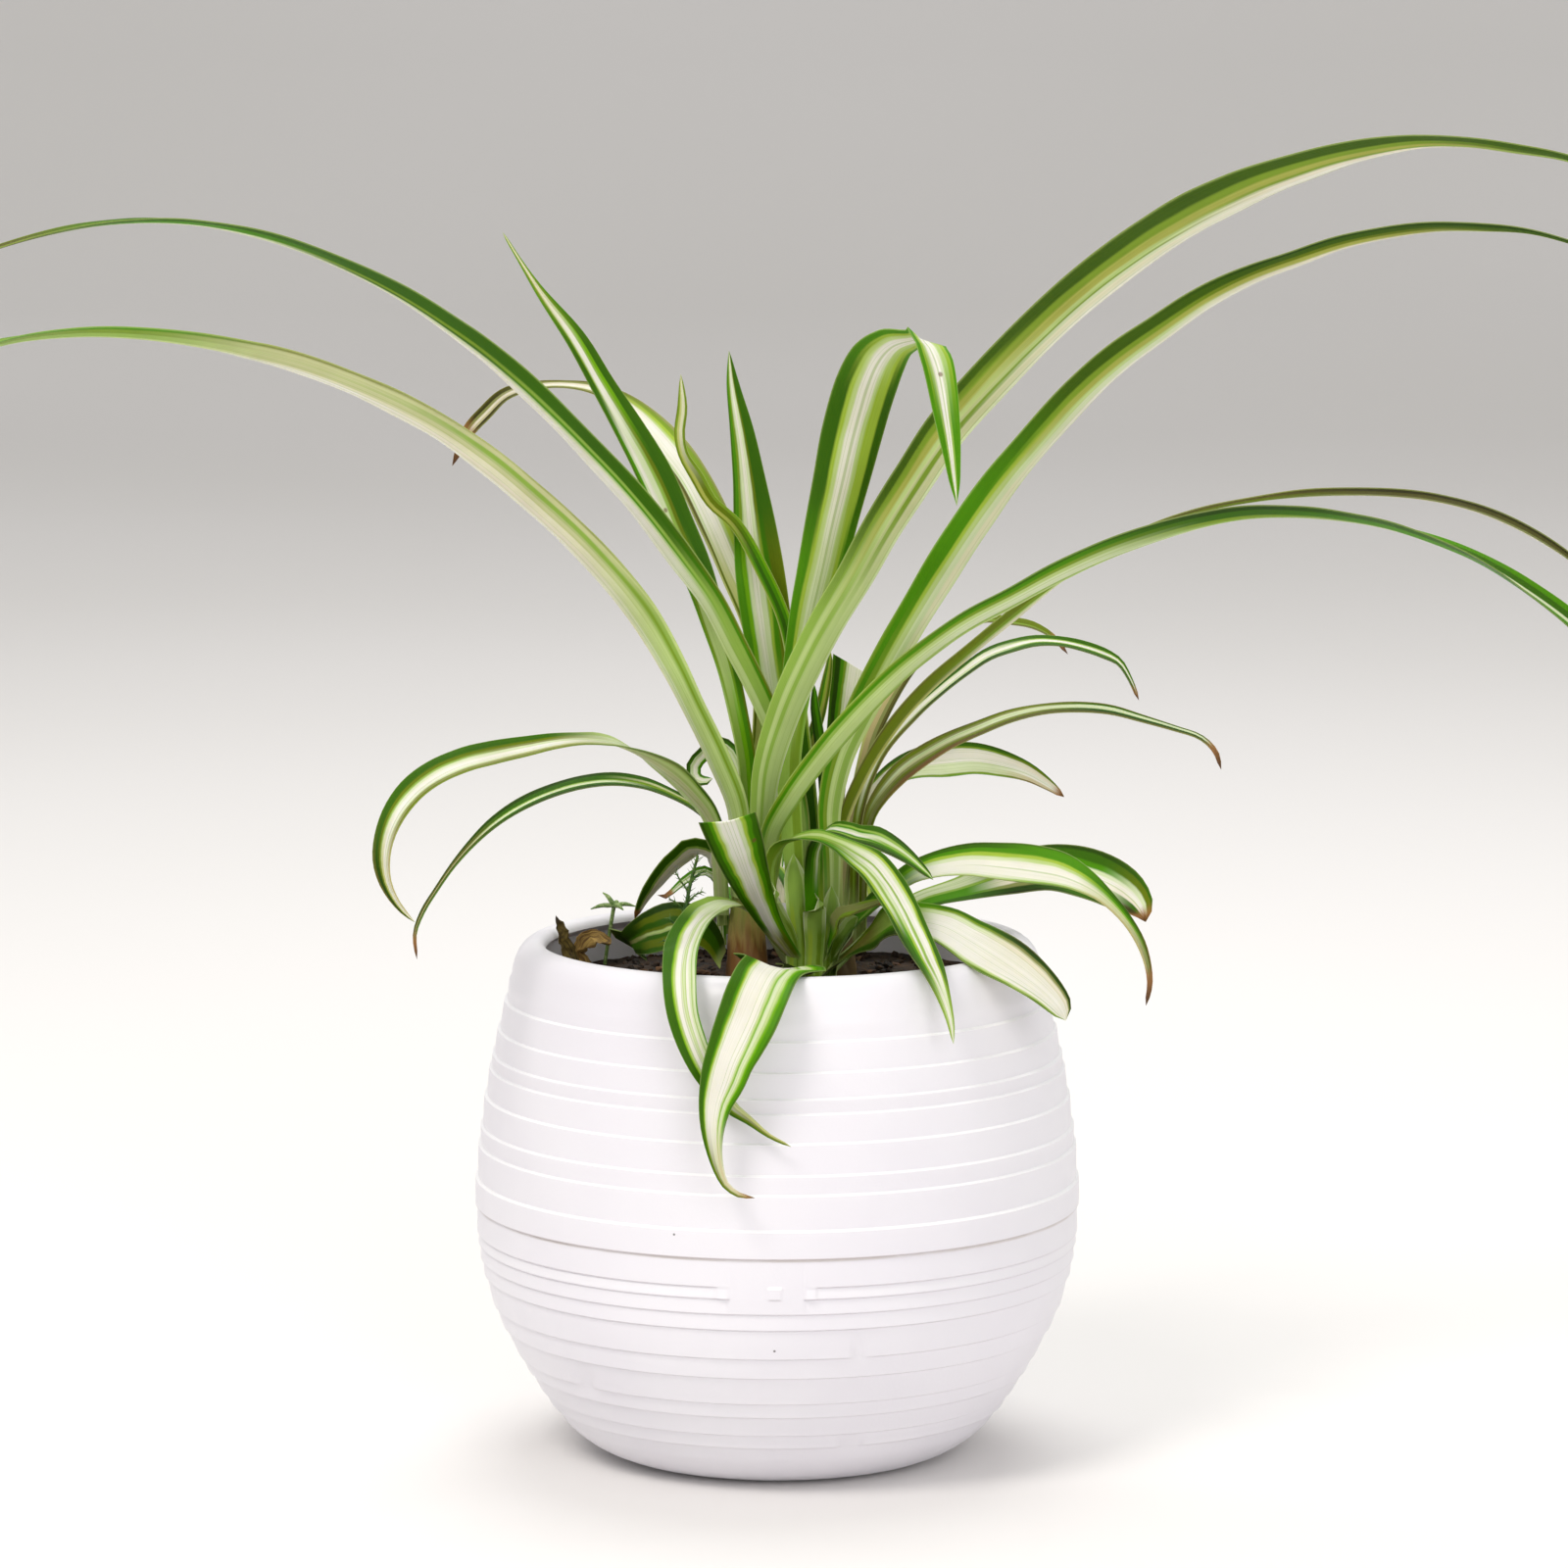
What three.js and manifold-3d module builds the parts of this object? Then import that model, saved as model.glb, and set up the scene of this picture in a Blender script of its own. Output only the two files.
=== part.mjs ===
// A spider plant in a ringed, globe-shaped white plastic pot.
//
// Units are millimetres, +Z is up, and the origin is the centre of the pot's foot.
// -Y is the front. The blades were drawn as seen from one standpoint in front of the pot,
// so each station of a blade is written as [x, z, y]: where it appears on the upright
// plane through the pot's axis, and how far behind that plane it really lies.

import * as THREE from "three";
import { mergeVertices } from "three/addons/utils/BufferGeometryUtils.js";
import Module from "manifold-3d";

const wasm = await Module();
wasm.setup();

// Standpoint
const EYE_DISTANCE = 1300;
const EYE_HEIGHT = 313.5;
const EYE = new THREE.Vector3(0, -EYE_DISTANCE, EYE_HEIGHT);

// Points nearer to each other than this are one point.
const MERGE_TOLERANCE = 1e-4;

// Pot
const POT_HEIGHT = 111;
const POT_RADIUS = 65;
const POT_WIDEST = 54.3;
const FOOT_RADIUS = 32;
const WALL = 3;
const FLOOR = 4;
const POT_SIDES = 48;
const STEP_DEPTH = 0.4;
const STEP_RISE = 0.3;
const FLOOR_RADIUS = 30;
const FOOT_POINTS = 4;
const LEDGES = [98.5, 92.3, 87, 84, 78, 71.5, 67.5, 60.2];
const UNDERCUTS = [54.3, 48.3, 45.8, 42.5, 39, 32.5, 28, 21.8, 18.5, 14, 10.8];

// Soil
const SOIL_TOP = 100;
const GAP = 0.3;
const HOLE_CLEARANCE = 0.5;
const HOLE_OVERRUN = 10;
const STEM_SIDES = 12;
const CROWN_FOOT = 84;

// Blades
const BLADE_THICKNESS = 0.7;
const TIP_WIDTH = 0.8;
const LEAST_SHOWN = 0.4;
const LEAST_RUN = 0.05;
const FULL_RIPPLE_HALF_WIDTH = 3;
const CURVE_DIVISIONS = 400;

// Outer radius of the pot at the heights that shape it, from the foot to the shoulder.
const POT_OUTLINE = [
  [0, FOOT_RADIUS], [1.2, 37], [3.5, 41.6], [7, 45.8], [10.8, 49], [14, 51.2], [18.5, 54.1],
  [21.8, 56], [28, 59.3], [32.5, 61.2], [39, 63.2], [45.8, 64.4], [POT_WIDEST, POT_RADIUS],
  [60.2, 64.9], [67.5, 64.3], [78, 62.9], [87, 61.2], [92.3, 60], [98.5, 58.5], [104, 57.1],
];

// Rolled rim as [radius, height], over the crest at POT_HEIGHT and down its inner lip.
const RIM = [[57, 103.5], [56.2, 107], [54.6, 109.8], [52, POT_HEIGHT], [50.4, 110.6], [49.6, 109]];

// Heights at which the inner side follows the outer one, a wall's thickness away.
const INSIDE_HEIGHTS = [103, 92.3, 78, 67.5, POT_WIDEST, 39, 28, 18.5, 10.8, 7];

function outerRadius(height) {
  for (let i = 1; i < POT_OUTLINE.length; i += 1) {
    const [z0, r0] = POT_OUTLINE[i - 1];
    const [z1, r1] = POT_OUTLINE[i];
    if (height <= z1) return THREE.MathUtils.mapLinear(height, z0, z1, r0, r1);
  }
  return POT_OUTLINE[POT_OUTLINE.length - 1][1];
}

function station([x, z, y]) {
  const reach = y / EYE_DISTANCE;
  return new THREE.Vector3(x * (1 + reach), y, z + (z - EYE_HEIGHT) * reach);
}

function solid(geometry) {
  const bare = geometry.index ? geometry.clone() : geometry;
  bare.deleteAttribute("normal");
  bare.deleteAttribute("uv");
  return mergeVertices(bare, MERGE_TOLERANCE);
}

function toManifold(geometry) {
  const merged = solid(geometry);
  return new wasm.Manifold(new wasm.Mesh({
    numProp: 3,
    vertProperties: new Float32Array(merged.attributes.position.array),
    triVerts: new Uint32Array(merged.index.array),
  }));
}

function fromManifold(body) {
  const mesh = body.getMesh();
  const geometry = new THREE.BufferGeometry();
  geometry.setAttribute("position", new THREE.BufferAttribute(mesh.vertProperties, 3));
  geometry.setIndex(new THREE.BufferAttribute(mesh.triVerts, 1));
  return geometry;
}

function facingOut(positions, triangles) {
  let volume = 0;
  const [a, b, c] = [new THREE.Vector3(), new THREE.Vector3(), new THREE.Vector3()];
  for (const [i, j, k] of triangles) {
    a.copy(positions[i]);
    b.copy(positions[j]);
    c.copy(positions[k]);
    volume += a.dot(b.cross(c));
  }
  const ordered = volume > 0 ? triangles : triangles.map(([i, j, k]) => [i, k, j]);
  const geometry = new THREE.BufferGeometry().setFromPoints(positions);
  geometry.setIndex(ordered.flat());
  return geometry;
}

// Skins a list of rings that all have the same number of points, and closes both ends.
function loft(rings, capTriangles) {
  const count = rings[0].length;
  const positions = rings.flat();
  const triangles = [];
  for (let row = 0; row < rings.length - 1; row += 1) {
    for (let k = 0; k < count; k += 1) {
      const next = (k + 1) % count;
      const [a, b] = [row * count + k, row * count + next];
      const [c, d] = [a + count, b + count];
      // The lower half of a blade's ring takes the other diagonal, so both faces split alike.
      if (k < count / 2) triangles.push([a, b, d], [a, d, c]);
      else triangles.push([a, b, c], [b, d, c]);
    }
  }
  const last = (rings.length - 1) * count;
  for (const [i, j, k] of capTriangles) {
    triangles.push([i, k, j], [last + i, last + j, last + k]);
  }
  return facingOut(positions, triangles);
}

// Triangles that close a round ring with this many points.
function fan(sides) {
  const triangles = [];
  for (let k = 1; k < sides - 1; k += 1) triangles.push([0, k, k + 1]);
  return triangles;
}

// Pot: rings are small steps, facing up above the widest ring and down below it.
function potProfile() {
  const foot = POT_OUTLINE.slice(0, FOOT_POINTS).map(([height, radius]) => [radius, height]);
  const outside = [[0, 0], ...foot];
  for (const height of [...UNDERCUTS].reverse()) {
    const radius = outerRadius(height);
    outside.push([radius - STEP_DEPTH, height - STEP_RISE / 2], [radius, height + STEP_RISE / 2]);
  }
  for (const height of [...LEDGES].reverse()) {
    const radius = outerRadius(height);
    outside.push([radius, height - STEP_RISE / 2], [radius - STEP_DEPTH, height + STEP_RISE / 2]);
  }
  return [...outside, ...RIM, ...insideProfile(0)];
}

// The pot's inner side from the rim down to the axis, moved inwards and up by "inset".
function insideProfile(inset) {
  const wall = INSIDE_HEIGHTS.map((height) => {
    const lift = height < POT_WIDEST ? inset : 0;
    return [outerRadius(height) - WALL - inset, height + lift];
  });
  return [...wall, [FLOOR_RADIUS - inset, FLOOR + inset], [0, FLOOR + inset]];
}

function turned(profile) {
  const points = profile.map(([radius, height]) => new THREE.Vector2(radius, height));
  return new THREE.LatheGeometry(points, POT_SIDES).rotateX(Math.PI / 2);
}

// Soil: fills the pot to a little under the rim, with a plain hole for each rootstock.
function soilGeometry(stems) {
  const below = insideProfile(GAP).filter(([, height]) => height < SOIL_TOP);
  const edge = outerRadius(SOIL_TOP) - WALL - GAP;
  const profile = [[0, SOIL_TOP], [edge, SOIL_TOP], ...below].reverse();
  let body = toManifold(turned(profile));
  for (const stem of stems) {
    const [foot] = stem.rows;
    const depth = SOIL_TOP - foot.z + GAP;
    const hole = new THREE.CylinderGeometry(1, 1, depth + HOLE_OVERRUN, STEM_SIDES * 2);
    hole.rotateX(Math.PI / 2);
    hole.scale(foot.rx + HOLE_CLEARANCE, foot.ry + HOLE_CLEARANCE, 1);
    hole.translate(foot.x, foot.y, SOIL_TOP + (HOLE_OVERRUN - depth) / 2);
    body = body.subtract(toManifold(hole));
  }
  return fromManifold(body);
}

// Rootstocks: each is a short, slightly flattened stem of packed leaf bases.
const CROWNS = [
  {
    name: "crown_left",
    rows: [
      { x: -6.6, y: 14, z: CROWN_FOOT, rx: 4.6, ry: 3.9 },
      { x: -6.6, y: 14, z: 103, rx: 4.6, ry: 3.9 },
      { x: -6.6, y: 14, z: 112, rx: 3.9, ry: 3.3 },
      { x: -6.4, y: 13.8, z: 122, rx: 3, ry: 2.6 },
    ],
  },
  {
    name: "crown_middle",
    rows: [
      { x: 6.6, y: 9, z: CROWN_FOOT, rx: 4, ry: 3.4 },
      { x: 6.6, y: 9, z: 101.5, rx: 4, ry: 3.4 },
      { x: 6.5, y: 9.2, z: 110, rx: 3, ry: 2.7 },
      { x: 6.3, y: 9.8, z: 119, rx: 2, ry: 1.9 },
    ],
  },
  {
    name: "crown_right",
    rows: [
      { x: 14, y: 18, z: CROWN_FOOT, rx: 3.4, ry: 3 },
      { x: 14, y: 18, z: 102, rx: 3.4, ry: 3 },
      { x: 13.8, y: 18, z: 109, rx: 2.6, ry: 2.4 },
      { x: 13.6, y: 18.2, z: 115, rx: 1.8, ry: 1.7 },
    ],
  },
];

function crownGeometry(stem) {
  const rings = stem.rows.map(({ x, y, z, rx, ry }) => {
    const ring = [];
    for (let k = 0; k < STEM_SIDES; k += 1) {
      const angle = (2 * Math.PI * k) / STEM_SIDES;
      ring.push(new THREE.Vector3(x + rx * Math.cos(angle), y + ry * Math.sin(angle), z));
    }
    return ring;
  });
  return loft(rings, fan(STEM_SIDES));
}

// Leaves. "path" lists stations [x, z, y, width] from the base to the tip, the width being the
// one seen from the standpoint. "face" is the way the upper side looks at even steps from base
// to tip. "fold" lifts the margins, "waves" and "sway" ripple them, "steps" is how many lengths
// the blade is built in, and "cut" is the slant of an end that was trimmed. The leaves with
// "trueWidths" stand behind the others, so their widths are real ones and not seen ones.
const LEAVES = [
  {
    name: "leaf_long_left_low", fold: 0.3, steps: 18,
    face: [[0.5, 0.85, 0.1], [0.3, 0.75, 0.6], [0, -0.25, 1]],
    path: [
      [-8.2, 120, 10.8, 3.6], [-7.8, 131, 8.1, 4.2], [-8.7, 140, 5.6, 4.6], [-12.6, 150, 3, 5],
      [-17.3, 160, 0, 5], [-22.2, 170, -4, 5.5], [-29.7, 182.4, -8, 6.4], [-39.7, 194.3, -15, 6.2],
      [-49.5, 203.6, -21, 6.1], [-59.7, 212.4, -28, 6], [-70, 219.9, -34, 5.6], [-80, 225.6, -40, 5.2],
      [-90, 230.2, -46, 4.8], [-100, 234, -52, 4.3], [-110, 236.7, -57, 4],
      [-120, 238.8, -62, 3.8], [-135, 240.9, -69, 4], [-150, 241.3, -75, 4.2],
      [-165, 239.2, -80, 3.7], [-180, 233, -84, 3.3], [-194, 223, -87, 2.2], [-204, 213, -89, 0.8],
    ],
  },
  {
    name: "leaf_long_left_high", fold: 0.35, steps: 16,
    face: [[0.4, 0.9, 0.1], [0.45, 0.5, 0.75], [0, -0.35, 0.95]],
    path: [
      [4.5, 121, 13.2, 3.4], [5, 136, 12.4, 3.8], [2, 150, 12, 4.2], [-2.7, 161.5, 11, 4.6],
      [-8.8, 174, 9.6, 5], [-14, 184, 8.6, 5.3], [-20, 192.5, 8, 5.7], [-30, 205.5, 7.4, 5.5],
      [-40, 216.4, 7, 5.3], [-50, 226.5, 6.6, 5], [-60, 235.6, 6, 4.4], [-70, 243.2, 5.4, 4.3],
      [-80, 249.7, 5, 3.9], [-90, 254.9, 4.6, 3.6], [-100, 259.1, 4, 3.4], [-110, 262.2, 3.6, 3.1],
      [-120, 264.2, 3, 2.7], [-130, 264.9, 2.6, 2.3], [-140, 264.5, 2, 1.9], [-150, 263, 1.6, 1.6],
      [-165, 258.9, 1, 1], [-186, 250.5, 0, 0.7],
    ],
  },
  {
    name: "leaf_upright_left", fold: 0.35, steps: 14,
    face: [[0.3, -0.9, 0.2], [0.45, -0.85, 0.3], [0.5, -0.8, 0.4]],
    path: [
      [-5.7, 124.4, 13.9, 3], [-6, 139.1, 14, 3.4], [-6.6, 150, 14.6, 3.9], [-8.2, 159, 15.4, 4.1],
      [-10.7, 170, 16.4, 4.6], [-13.7, 180, 17.2, 5.6], [-17, 190, 18, 6.7], [-21.4, 200, 18.8, 7.4],
      [-25.7, 210, 19, 7.5], [-31.1, 220, 19, 6.4], [-37.1, 230, 19, 5.1], [-43, 240, 18.6, 4.2],
      [-50.5, 250, 18, 1.9], [-55, 257, 17.4, 0.8], [-58, 262, 17, 0.6],
    ],
  },
  {
    name: "leaf_arching_back_left", fold: 0.3, steps: 18,
    face: [[0.3, -0.8, 0.5], [0.2, -0.55, 0.8], [-0.6, -0.75, 0.3]],
    path: [
      [-6.1, 122, 18.4, 3.2], [-5, 140, 22.4, 4], [-2.8, 156, 25.5, 5], [-2.4, 168, 28, 6],
      [-4.5, 180, 31, 6.8], [-8.7, 190, 35, 7], [-13, 200, 39, 7.2], [-18, 210, 45, 7],
      [-24, 218, 52, 7], [-31, 225, 60, 4.6], [-38, 228.8, 67, 2.6], [-45, 229.9, 74, 1.6],
      [-51, 229.6, 79, 1.9], [-57.5, 227.8, 84, 2.6], [-62, 223.8, 88, 3],
      [-65.8, 219.5, 91, 2.7], [-69, 212.5, 93, 0.8],
    ],
  },
  {
    name: "leaf_small_twisted", fold: 0.3, steps: 16,
    face: [[-0.2, -0.95, 0.2], [-0.3, -0.9, 0.3], [-0.6, -0.7, 0.3]],
    path: [
      [8, 122, 13, 2.6], [7.3, 138, 16, 3], [5.4, 156, 17, 3], [3.6, 170, 17.4, 3],
      [1.4, 180, 17.6, 2.9], [-3, 190, 17.6, 3], [-8.7, 200, 18.4, 2.7], [-14, 205, 19, 2.7],
      [-16.9, 210, 20, 2.8], [-19.9, 215, 21, 2.1], [-20.7, 219.5, 21.6, 2.2],
      [-20.1, 225, 22, 2.1], [-20.4, 232, 22.5, 0.6],
    ],
  },
  {
    name: "leaf_upright_middle", fold: 0.25, steps: 14,
    face: [[0.1, -1, 0.1], [0, -1, 0.15], [0.1, -1, 0.2]],
    path: [
      [-2.8, 118.9, 17.4, 4], [-0.6, 136, 19.9, 5.6], [0.4, 150, 21, 7], [0.2, 160, 21.6, 8.4],
      [-1, 170, 22, 9.8], [-2.4, 180, 22.6, 10.6], [-3.7, 190, 23, 10.5], [-4.8, 200, 24, 9],
      [-6, 210, 25, 6.9], [-7.5, 220, 26, 5.1], [-9.4, 230, 27, 2.7], [-10.2, 237, 27.5, 0.6],
    ],
  },
  {
    name: "leaf_bent_forward", fold: 0.25, steps: 26,
    face: [
      [0.1, 1, 0.1], [0.05, 1, 0.15], [0, 1, 0.2], [-0.05, 1, 0.25], [-0.1, 0.95, 0.3],
      [-0.1, 0.95, 0.4], [0.35, 0.55, 0.75], [0.4, -0.85, 0.35], [0.3, -0.9, 0.3],
    ],
    path: [
      [4.7, 112.1, 6.2, 3.6], [3.8, 124, 7.6, 4], [3, 136, 8, 4.6], [2.4, 148, 7.6, 5.2],
      [3.4, 160, 6.6, 6], [4.9, 170, 5.6, 7.2], [7, 180, 4, 9], [9.3, 190, 1.6, 10.2],
      [11.4, 200, -1.4, 11], [13.7, 210, -5.4, 12], [16, 220, -10.6, 13],
      [18.8, 229.6, -17.4, 13], [21.6, 235.6, -24, 11.6], [24.8, 238.8, -31, 8],
      [28.6, 239.8, -38, 3.8], [31.4, 239.8, -43, 4], [33.7, 235.4, -46.6, 6.6],
      [36.3, 221, -51, 5], [37.6, 210, -54, 2.6], [38.2, 204, -55, 0.8],
    ],
  },
  {
    name: "leaf_long_right_top", fold: 0.3, steps: 18,
    face: [[-0.5, 0.85, 0.1], [-0.45, 0.6, 0.65], [0, 0.2, 0.98]],
    path: [
      [-3.4, 123, 11.4, 3.8], [-3.4, 135, 5.1, 4.6], [-2.1, 148, 1, 6], [1.6, 160, -2, 6.8],
      [6, 170, -4, 7.3], [11.2, 180, -6, 7.6], [17.2, 190, -9, 7.9], [22.8, 200, -13, 8.2],
      [29, 210, -17, 8.6], [36, 220.5, -22, 8.9], [44.2, 230, -27, 9], [54.9, 241, -34, 9],
      [65, 250.2, -40, 9], [77.5, 259.8, -47, 9], [89, 266.8, -54, 8.6],
      [100, 272, -60, 7.7], [110, 275.7, -65, 6.8], [121, 278.9, -70, 5.8], [135, 281.2, -76, 4.2],
      [146, 281, -80, 3.2], [156, 279.6, -83, 2.8], [166.5, 277.8, -86, 2.2], [180, 273.2, -89, 1.6],
      [190, 268.6, -91, 0.7],
    ],
  },
  {
    name: "leaf_long_right_second", fold: 0.3, steps: 16,
    face: [[-0.4, 0.9, 0.1], [-0.5, 0.6, 0.6], [0, 0.25, 0.97]],
    path: [
      [10.1, 109.1, 7, 2.4], [11.5, 118, 7.7, 3.2], [11.6, 128, 9, 4], [11.2, 139, 10, 5],
      [13.4, 150, 9.4, 5.8], [17.8, 160, 8, 6.4], [23, 170, 6, 7], [28.7, 180, 4, 7.2],
      [34.8, 190.2, 2, 7.7], [41.1, 200.1, 0, 7.6], [48.2, 210.1, -1, 7.2], [56.1, 219.5, -3, 7],
      [64.6, 228.9, -5, 6.8], [72.9, 236.2, -6.4, 6.4], [80.4, 241.6, -7.6, 5.8],
      [90, 248, -9, 4.8], [100, 253, -10, 4], [110, 256.7, -11, 3.6], [120, 260, -12, 3.2],
      [130, 262.1, -13, 3], [140, 263.2, -13.6, 2.5], [150, 263, -14, 1.9], [160, 262, -14, 1],
      [176, 257.4, -14, 0.7],
    ],
  },
  {
    name: "leaf_long_right_third", fold: 0.3, steps: 18,
    face: [[-0.4, 0.9, 0.2], [-0.35, 0.45, 0.8], [0.3, -0.6, 0.75]],
    path: [
      [-2.6, 122, 9.9, 3], [-1.4, 134, 0.5, 4.2], [3, 142, -5, 4.6], [8.8, 150, -7, 4.8],
      [14.6, 157, -8.4, 4.8], [21, 163.8, -9, 4.6], [29.8, 171.8, -10, 4.3], [39.6, 178.9, -10, 4.2],
      [50, 184.6, -10, 4.2], [60, 190, -10, 4.2], [69.9, 194.6, -10, 4.1], [80, 198.2, -10, 4],
      [90, 201, -10, 4], [100, 202.7, -10, 3.9], [110, 202.9, -9.6, 3.7], [120, 202.1, -9, 3.7],
      [130, 200.4, -8.6, 3.8], [140, 197.3, -8, 4.1], [150, 193, -7, 4], [160, 186.8, -6, 4],
      [172, 177.4, -5, 3.5], [184, 165, -4, 2.4], [192, 153, -3, 0.8],
    ],
  },
  {
    name: "leaf_long_right_thin", fold: 0.3, steps: 14,
    face: [[-0.4, 0.85, 0.3], [-0.3, 0.3, 0.9], [0.3, 0.35, 0.9]],
    path: [
      [13, 117.7, 15.9, 2], [13.4, 133.6, 14.9, 2.2], [18, 146, 14.4, 2.6], [24, 156, 14.2, 2.7],
      [31, 164.4, 14, 2.6], [40, 172.4, 13.4, 2.5], [50, 180.8, 13, 2.5], [60, 188.6, 12, 2.2],
      [70, 194.8, 11, 1.8], [80, 200, 10, 1.5], [90, 203.3, 9, 1.4], [100, 205.3, 8.4, 1.4],
      [110, 206.6, 8, 1.9], [120, 207.1, 7.4, 2.2], [130, 206.9, 7, 2.2], [140, 205.8, 6.4, 2.3],
      [150, 203.2, 5.6, 2.3], [160, 198.7, 5, 2.2], [168, 193.6, 4, 1.6], [180, 184.2, 3, 0.7],
    ],
  },
  {
    name: "leaf_tip_behind_right", fold: 0.3, steps: 12,
    face: [[-0.4, -0.6, 0.6], [-0.2, -0.4, 0.9], [0.4, -0.3, 0.8]],
    path: [
      [14.1, 117.8, 20.5, 2], [16.3, 137.9, 26.7, 2.4], [18.9, 150, 28.4, 3], [21.8, 158.6, 31, 3.4],
      [28.4, 169.6, 35, 2.8], [35.6, 176.4, 38.6, 2.2], [43.4, 179.8, 42, 1.8], [50, 179.4, 46, 1.5],
      [55, 178.4, 49, 1.4], [59, 176, 50.5, 1.1], [62, 172.3, 51, 0.6],
    ],
  },
  {
    name: "leaf_right_mid", fold: 0.35, steps: 14,
    face: [[-0.5, -0.6, 0.5], [-0.3, -0.4, 0.85], [0.6, -0.4, 0.6]],
    path: [
      [16.4, 114, 15.7, 1.8], [17.5, 138, 19.1, 2], [22, 150.6, 21, 2.1], [29.5, 159.8, 23, 2.1],
      [35, 164.9, 25, 2.3], [40, 168.9, 26.6, 2.6], [45, 172.3, 28.4, 2.7], [50, 174.1, 30, 2.7],
      [55, 175.2, 31, 2.4], [60, 175.1, 32.4, 2], [65, 174.1, 33.4, 2.1], [70, 172.4, 34.4, 2.1],
      [73, 170.7, 35, 1.5], [75.3, 167, 35.4, 0.9], [77.2, 162.4, 35.6, 0.6],
    ],
  },
  {
    name: "leaf_right_lower", fold: 0.35, steps: 14,
    face: [[-0.5, -0.6, 0.5], [-0.3, -0.4, 0.85], [0.6, -0.4, 0.6]],
    path: [
      [18, 109, 17.4, 2], [18.4, 126, 20.6, 2.2], [19.6, 137, 23, 2.6], [22, 141.8, 24, 3.4],
      [26, 146.5, 25.2, 4.2], [31, 150.3, 26.6, 4.2], [37, 153.9, 28.4, 3.6], [43.5, 156.7, 30, 3.1],
      [50, 159.1, 31.6, 2.7], [57, 160.6, 33, 2.2], [64, 161, 34.4, 2.1], [71, 160.4, 35.6, 1.9],
      [78, 158.5, 36.8, 1.5], [85, 156.4, 37.8, 1.1], [90.5, 154.4, 38.2, 1], [93.6, 151.4, 38.4, 0.9],
      [94.9, 147.5, 38.5, 0.6],
    ],
  },
  {
    name: "leaf_right_pale", fold: 0.2, steps: 14,
    face: [[-0.4, -0.6, 0.6], [-0.2, -0.75, 0.6], [0.4, -0.75, 0.5]],
    path: [
      [16.2, 110.6, 20.3, 2.6], [16.3, 127.9, 26.6, 3], [17.6, 137, 30, 3.2], [20.5, 142.5, 32, 3.8],
      [25, 146.6, 34.4, 5], [30, 148.8, 37, 6.4], [36, 149.6, 39.6, 7.2], [42, 150, 42, 6.6],
      [48, 149, 44.4, 5.6], [53.5, 147.1, 46, 4], [58, 144.3, 47, 2.4], [61.4, 141.6, 47.4, 0.9],
    ],
  },
  {
    name: "leaf_trimmed_back", fold: 0.15, cut: -1.6, steps: 8,
    face: [[-0.2, -0.95, 0.2], [-0.2, -0.95, 0.2], [-0.1, -1, 0.2]],
    path: [
      [11.6, 115.8, 21.9, 3.2], [11.7, 131.9, 26.7, 4], [12.6, 148, 30, 5], [14, 160, 31, 6.2],
      [15.3, 170.4, 31.5, 7.2],
    ],
  },
  {
    name: "leaf_narrow_upright", fold: 0.5, steps: 10,
    face: [[0.3, -0.9, 0.2], [0.5, -0.8, 0.2], [0.8, -0.5, 0.2]],
    path: [
      [11.3, 114.7, 15.4, 2], [7.9, 132, 18.9, 2.2], [6.4, 144, 20.4, 2.3], [7.2, 153, 21.6, 2.4],
      [9.2, 160, 22.4, 2.4], [10.6, 167, 23.4, 1.9], [11.4, 173, 24, 0.7],
    ],
  },
  {
    name: "leaf_short_behind", fold: 0.3, steps: 8,
    face: [[-0.3, -0.9, 0.2], [-0.4, -0.9, 0.2], [-0.2, -0.95, 0.2]],
    path: [
      [10, 119, 9.8, 2], [10.4, 134, 14, 2.2], [9.8, 148, 17, 2.4], [8.6, 157, 18.4, 2.2],
      [8, 161.4, 18.8, 1.8], [7.9, 166, 19, 0.7],
    ],
  },
  {
    name: "leaf_curled_left", fold: 0.2, steps: 18,
    face: [[0.5, -0.8, 0.2], [0.2, -0.7, -0.6], [0.3, -0.8, 0.5]],
    path: [
      [-8.5, 117.9, 17.4, 2.6], [-8.2, 136, 22.9, 3.2], [-8.4, 146, 26, 4], [-10.2, 151, 28.4, 4.4],
      [-13, 152.6, 31, 4], [-15.6, 151, 33, 3], [-17.8, 148.4, 33.6, 3.2],
      [-17.6, 146, 32, 2.8], [-15.8, 145, 30, 2.2], [-13.8, 145.6, 28, 0.9],
    ],
  },
  {
    name: "leaf_left_arch_high", fold: 0.3, steps: 20,
    face: [[0.4, 0.8, 0.3], [0.3, 0.5, 0.65], [0, -0.6, 0.8], [-0.4, -0.6, 0.4], [-0.75, -0.6, 0.1]],
    path: [
      [-11.9, 116.4, 12.3, 3], [-12.3, 126, 8.9, 3.2], [-12.8, 133, 5.8, 3.5], [-14.8, 138.4, 2.4, 3.8],
      [-18.7, 143.4, -2, 4.1], [-22.5, 147.2, -6, 4.2], [-27, 150.6, -10, 4], [-32, 153, -15, 3.2],
      [-36, 154, -18.4, 2.6], [-42, 154.2, -23, 2.6], [-48, 153.7, -27, 3.4], [-54.5, 152.5, -31.6, 4.4],
      [-61, 151.1, -36, 5], [-67.3, 149.5, -40.4, 5.2], [-73, 147, -44, 5.4], [-78, 143.3, -47.4, 5.4],
      [-81.8, 138.5, -50.4, 5], [-84, 133.2, -53, 4.3], [-84.7, 128, -55, 3.6], [-84, 123.4, -56, 2.6],
      [-82.1, 119.4, -56.6, 1.7], [-79.6, 116.3, -57, 1], [-77.6, 114.5, -57, 0.6],
    ],
  },
  {
    name: "leaf_left_arch_low", fold: 0.35, steps: 18,
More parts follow.
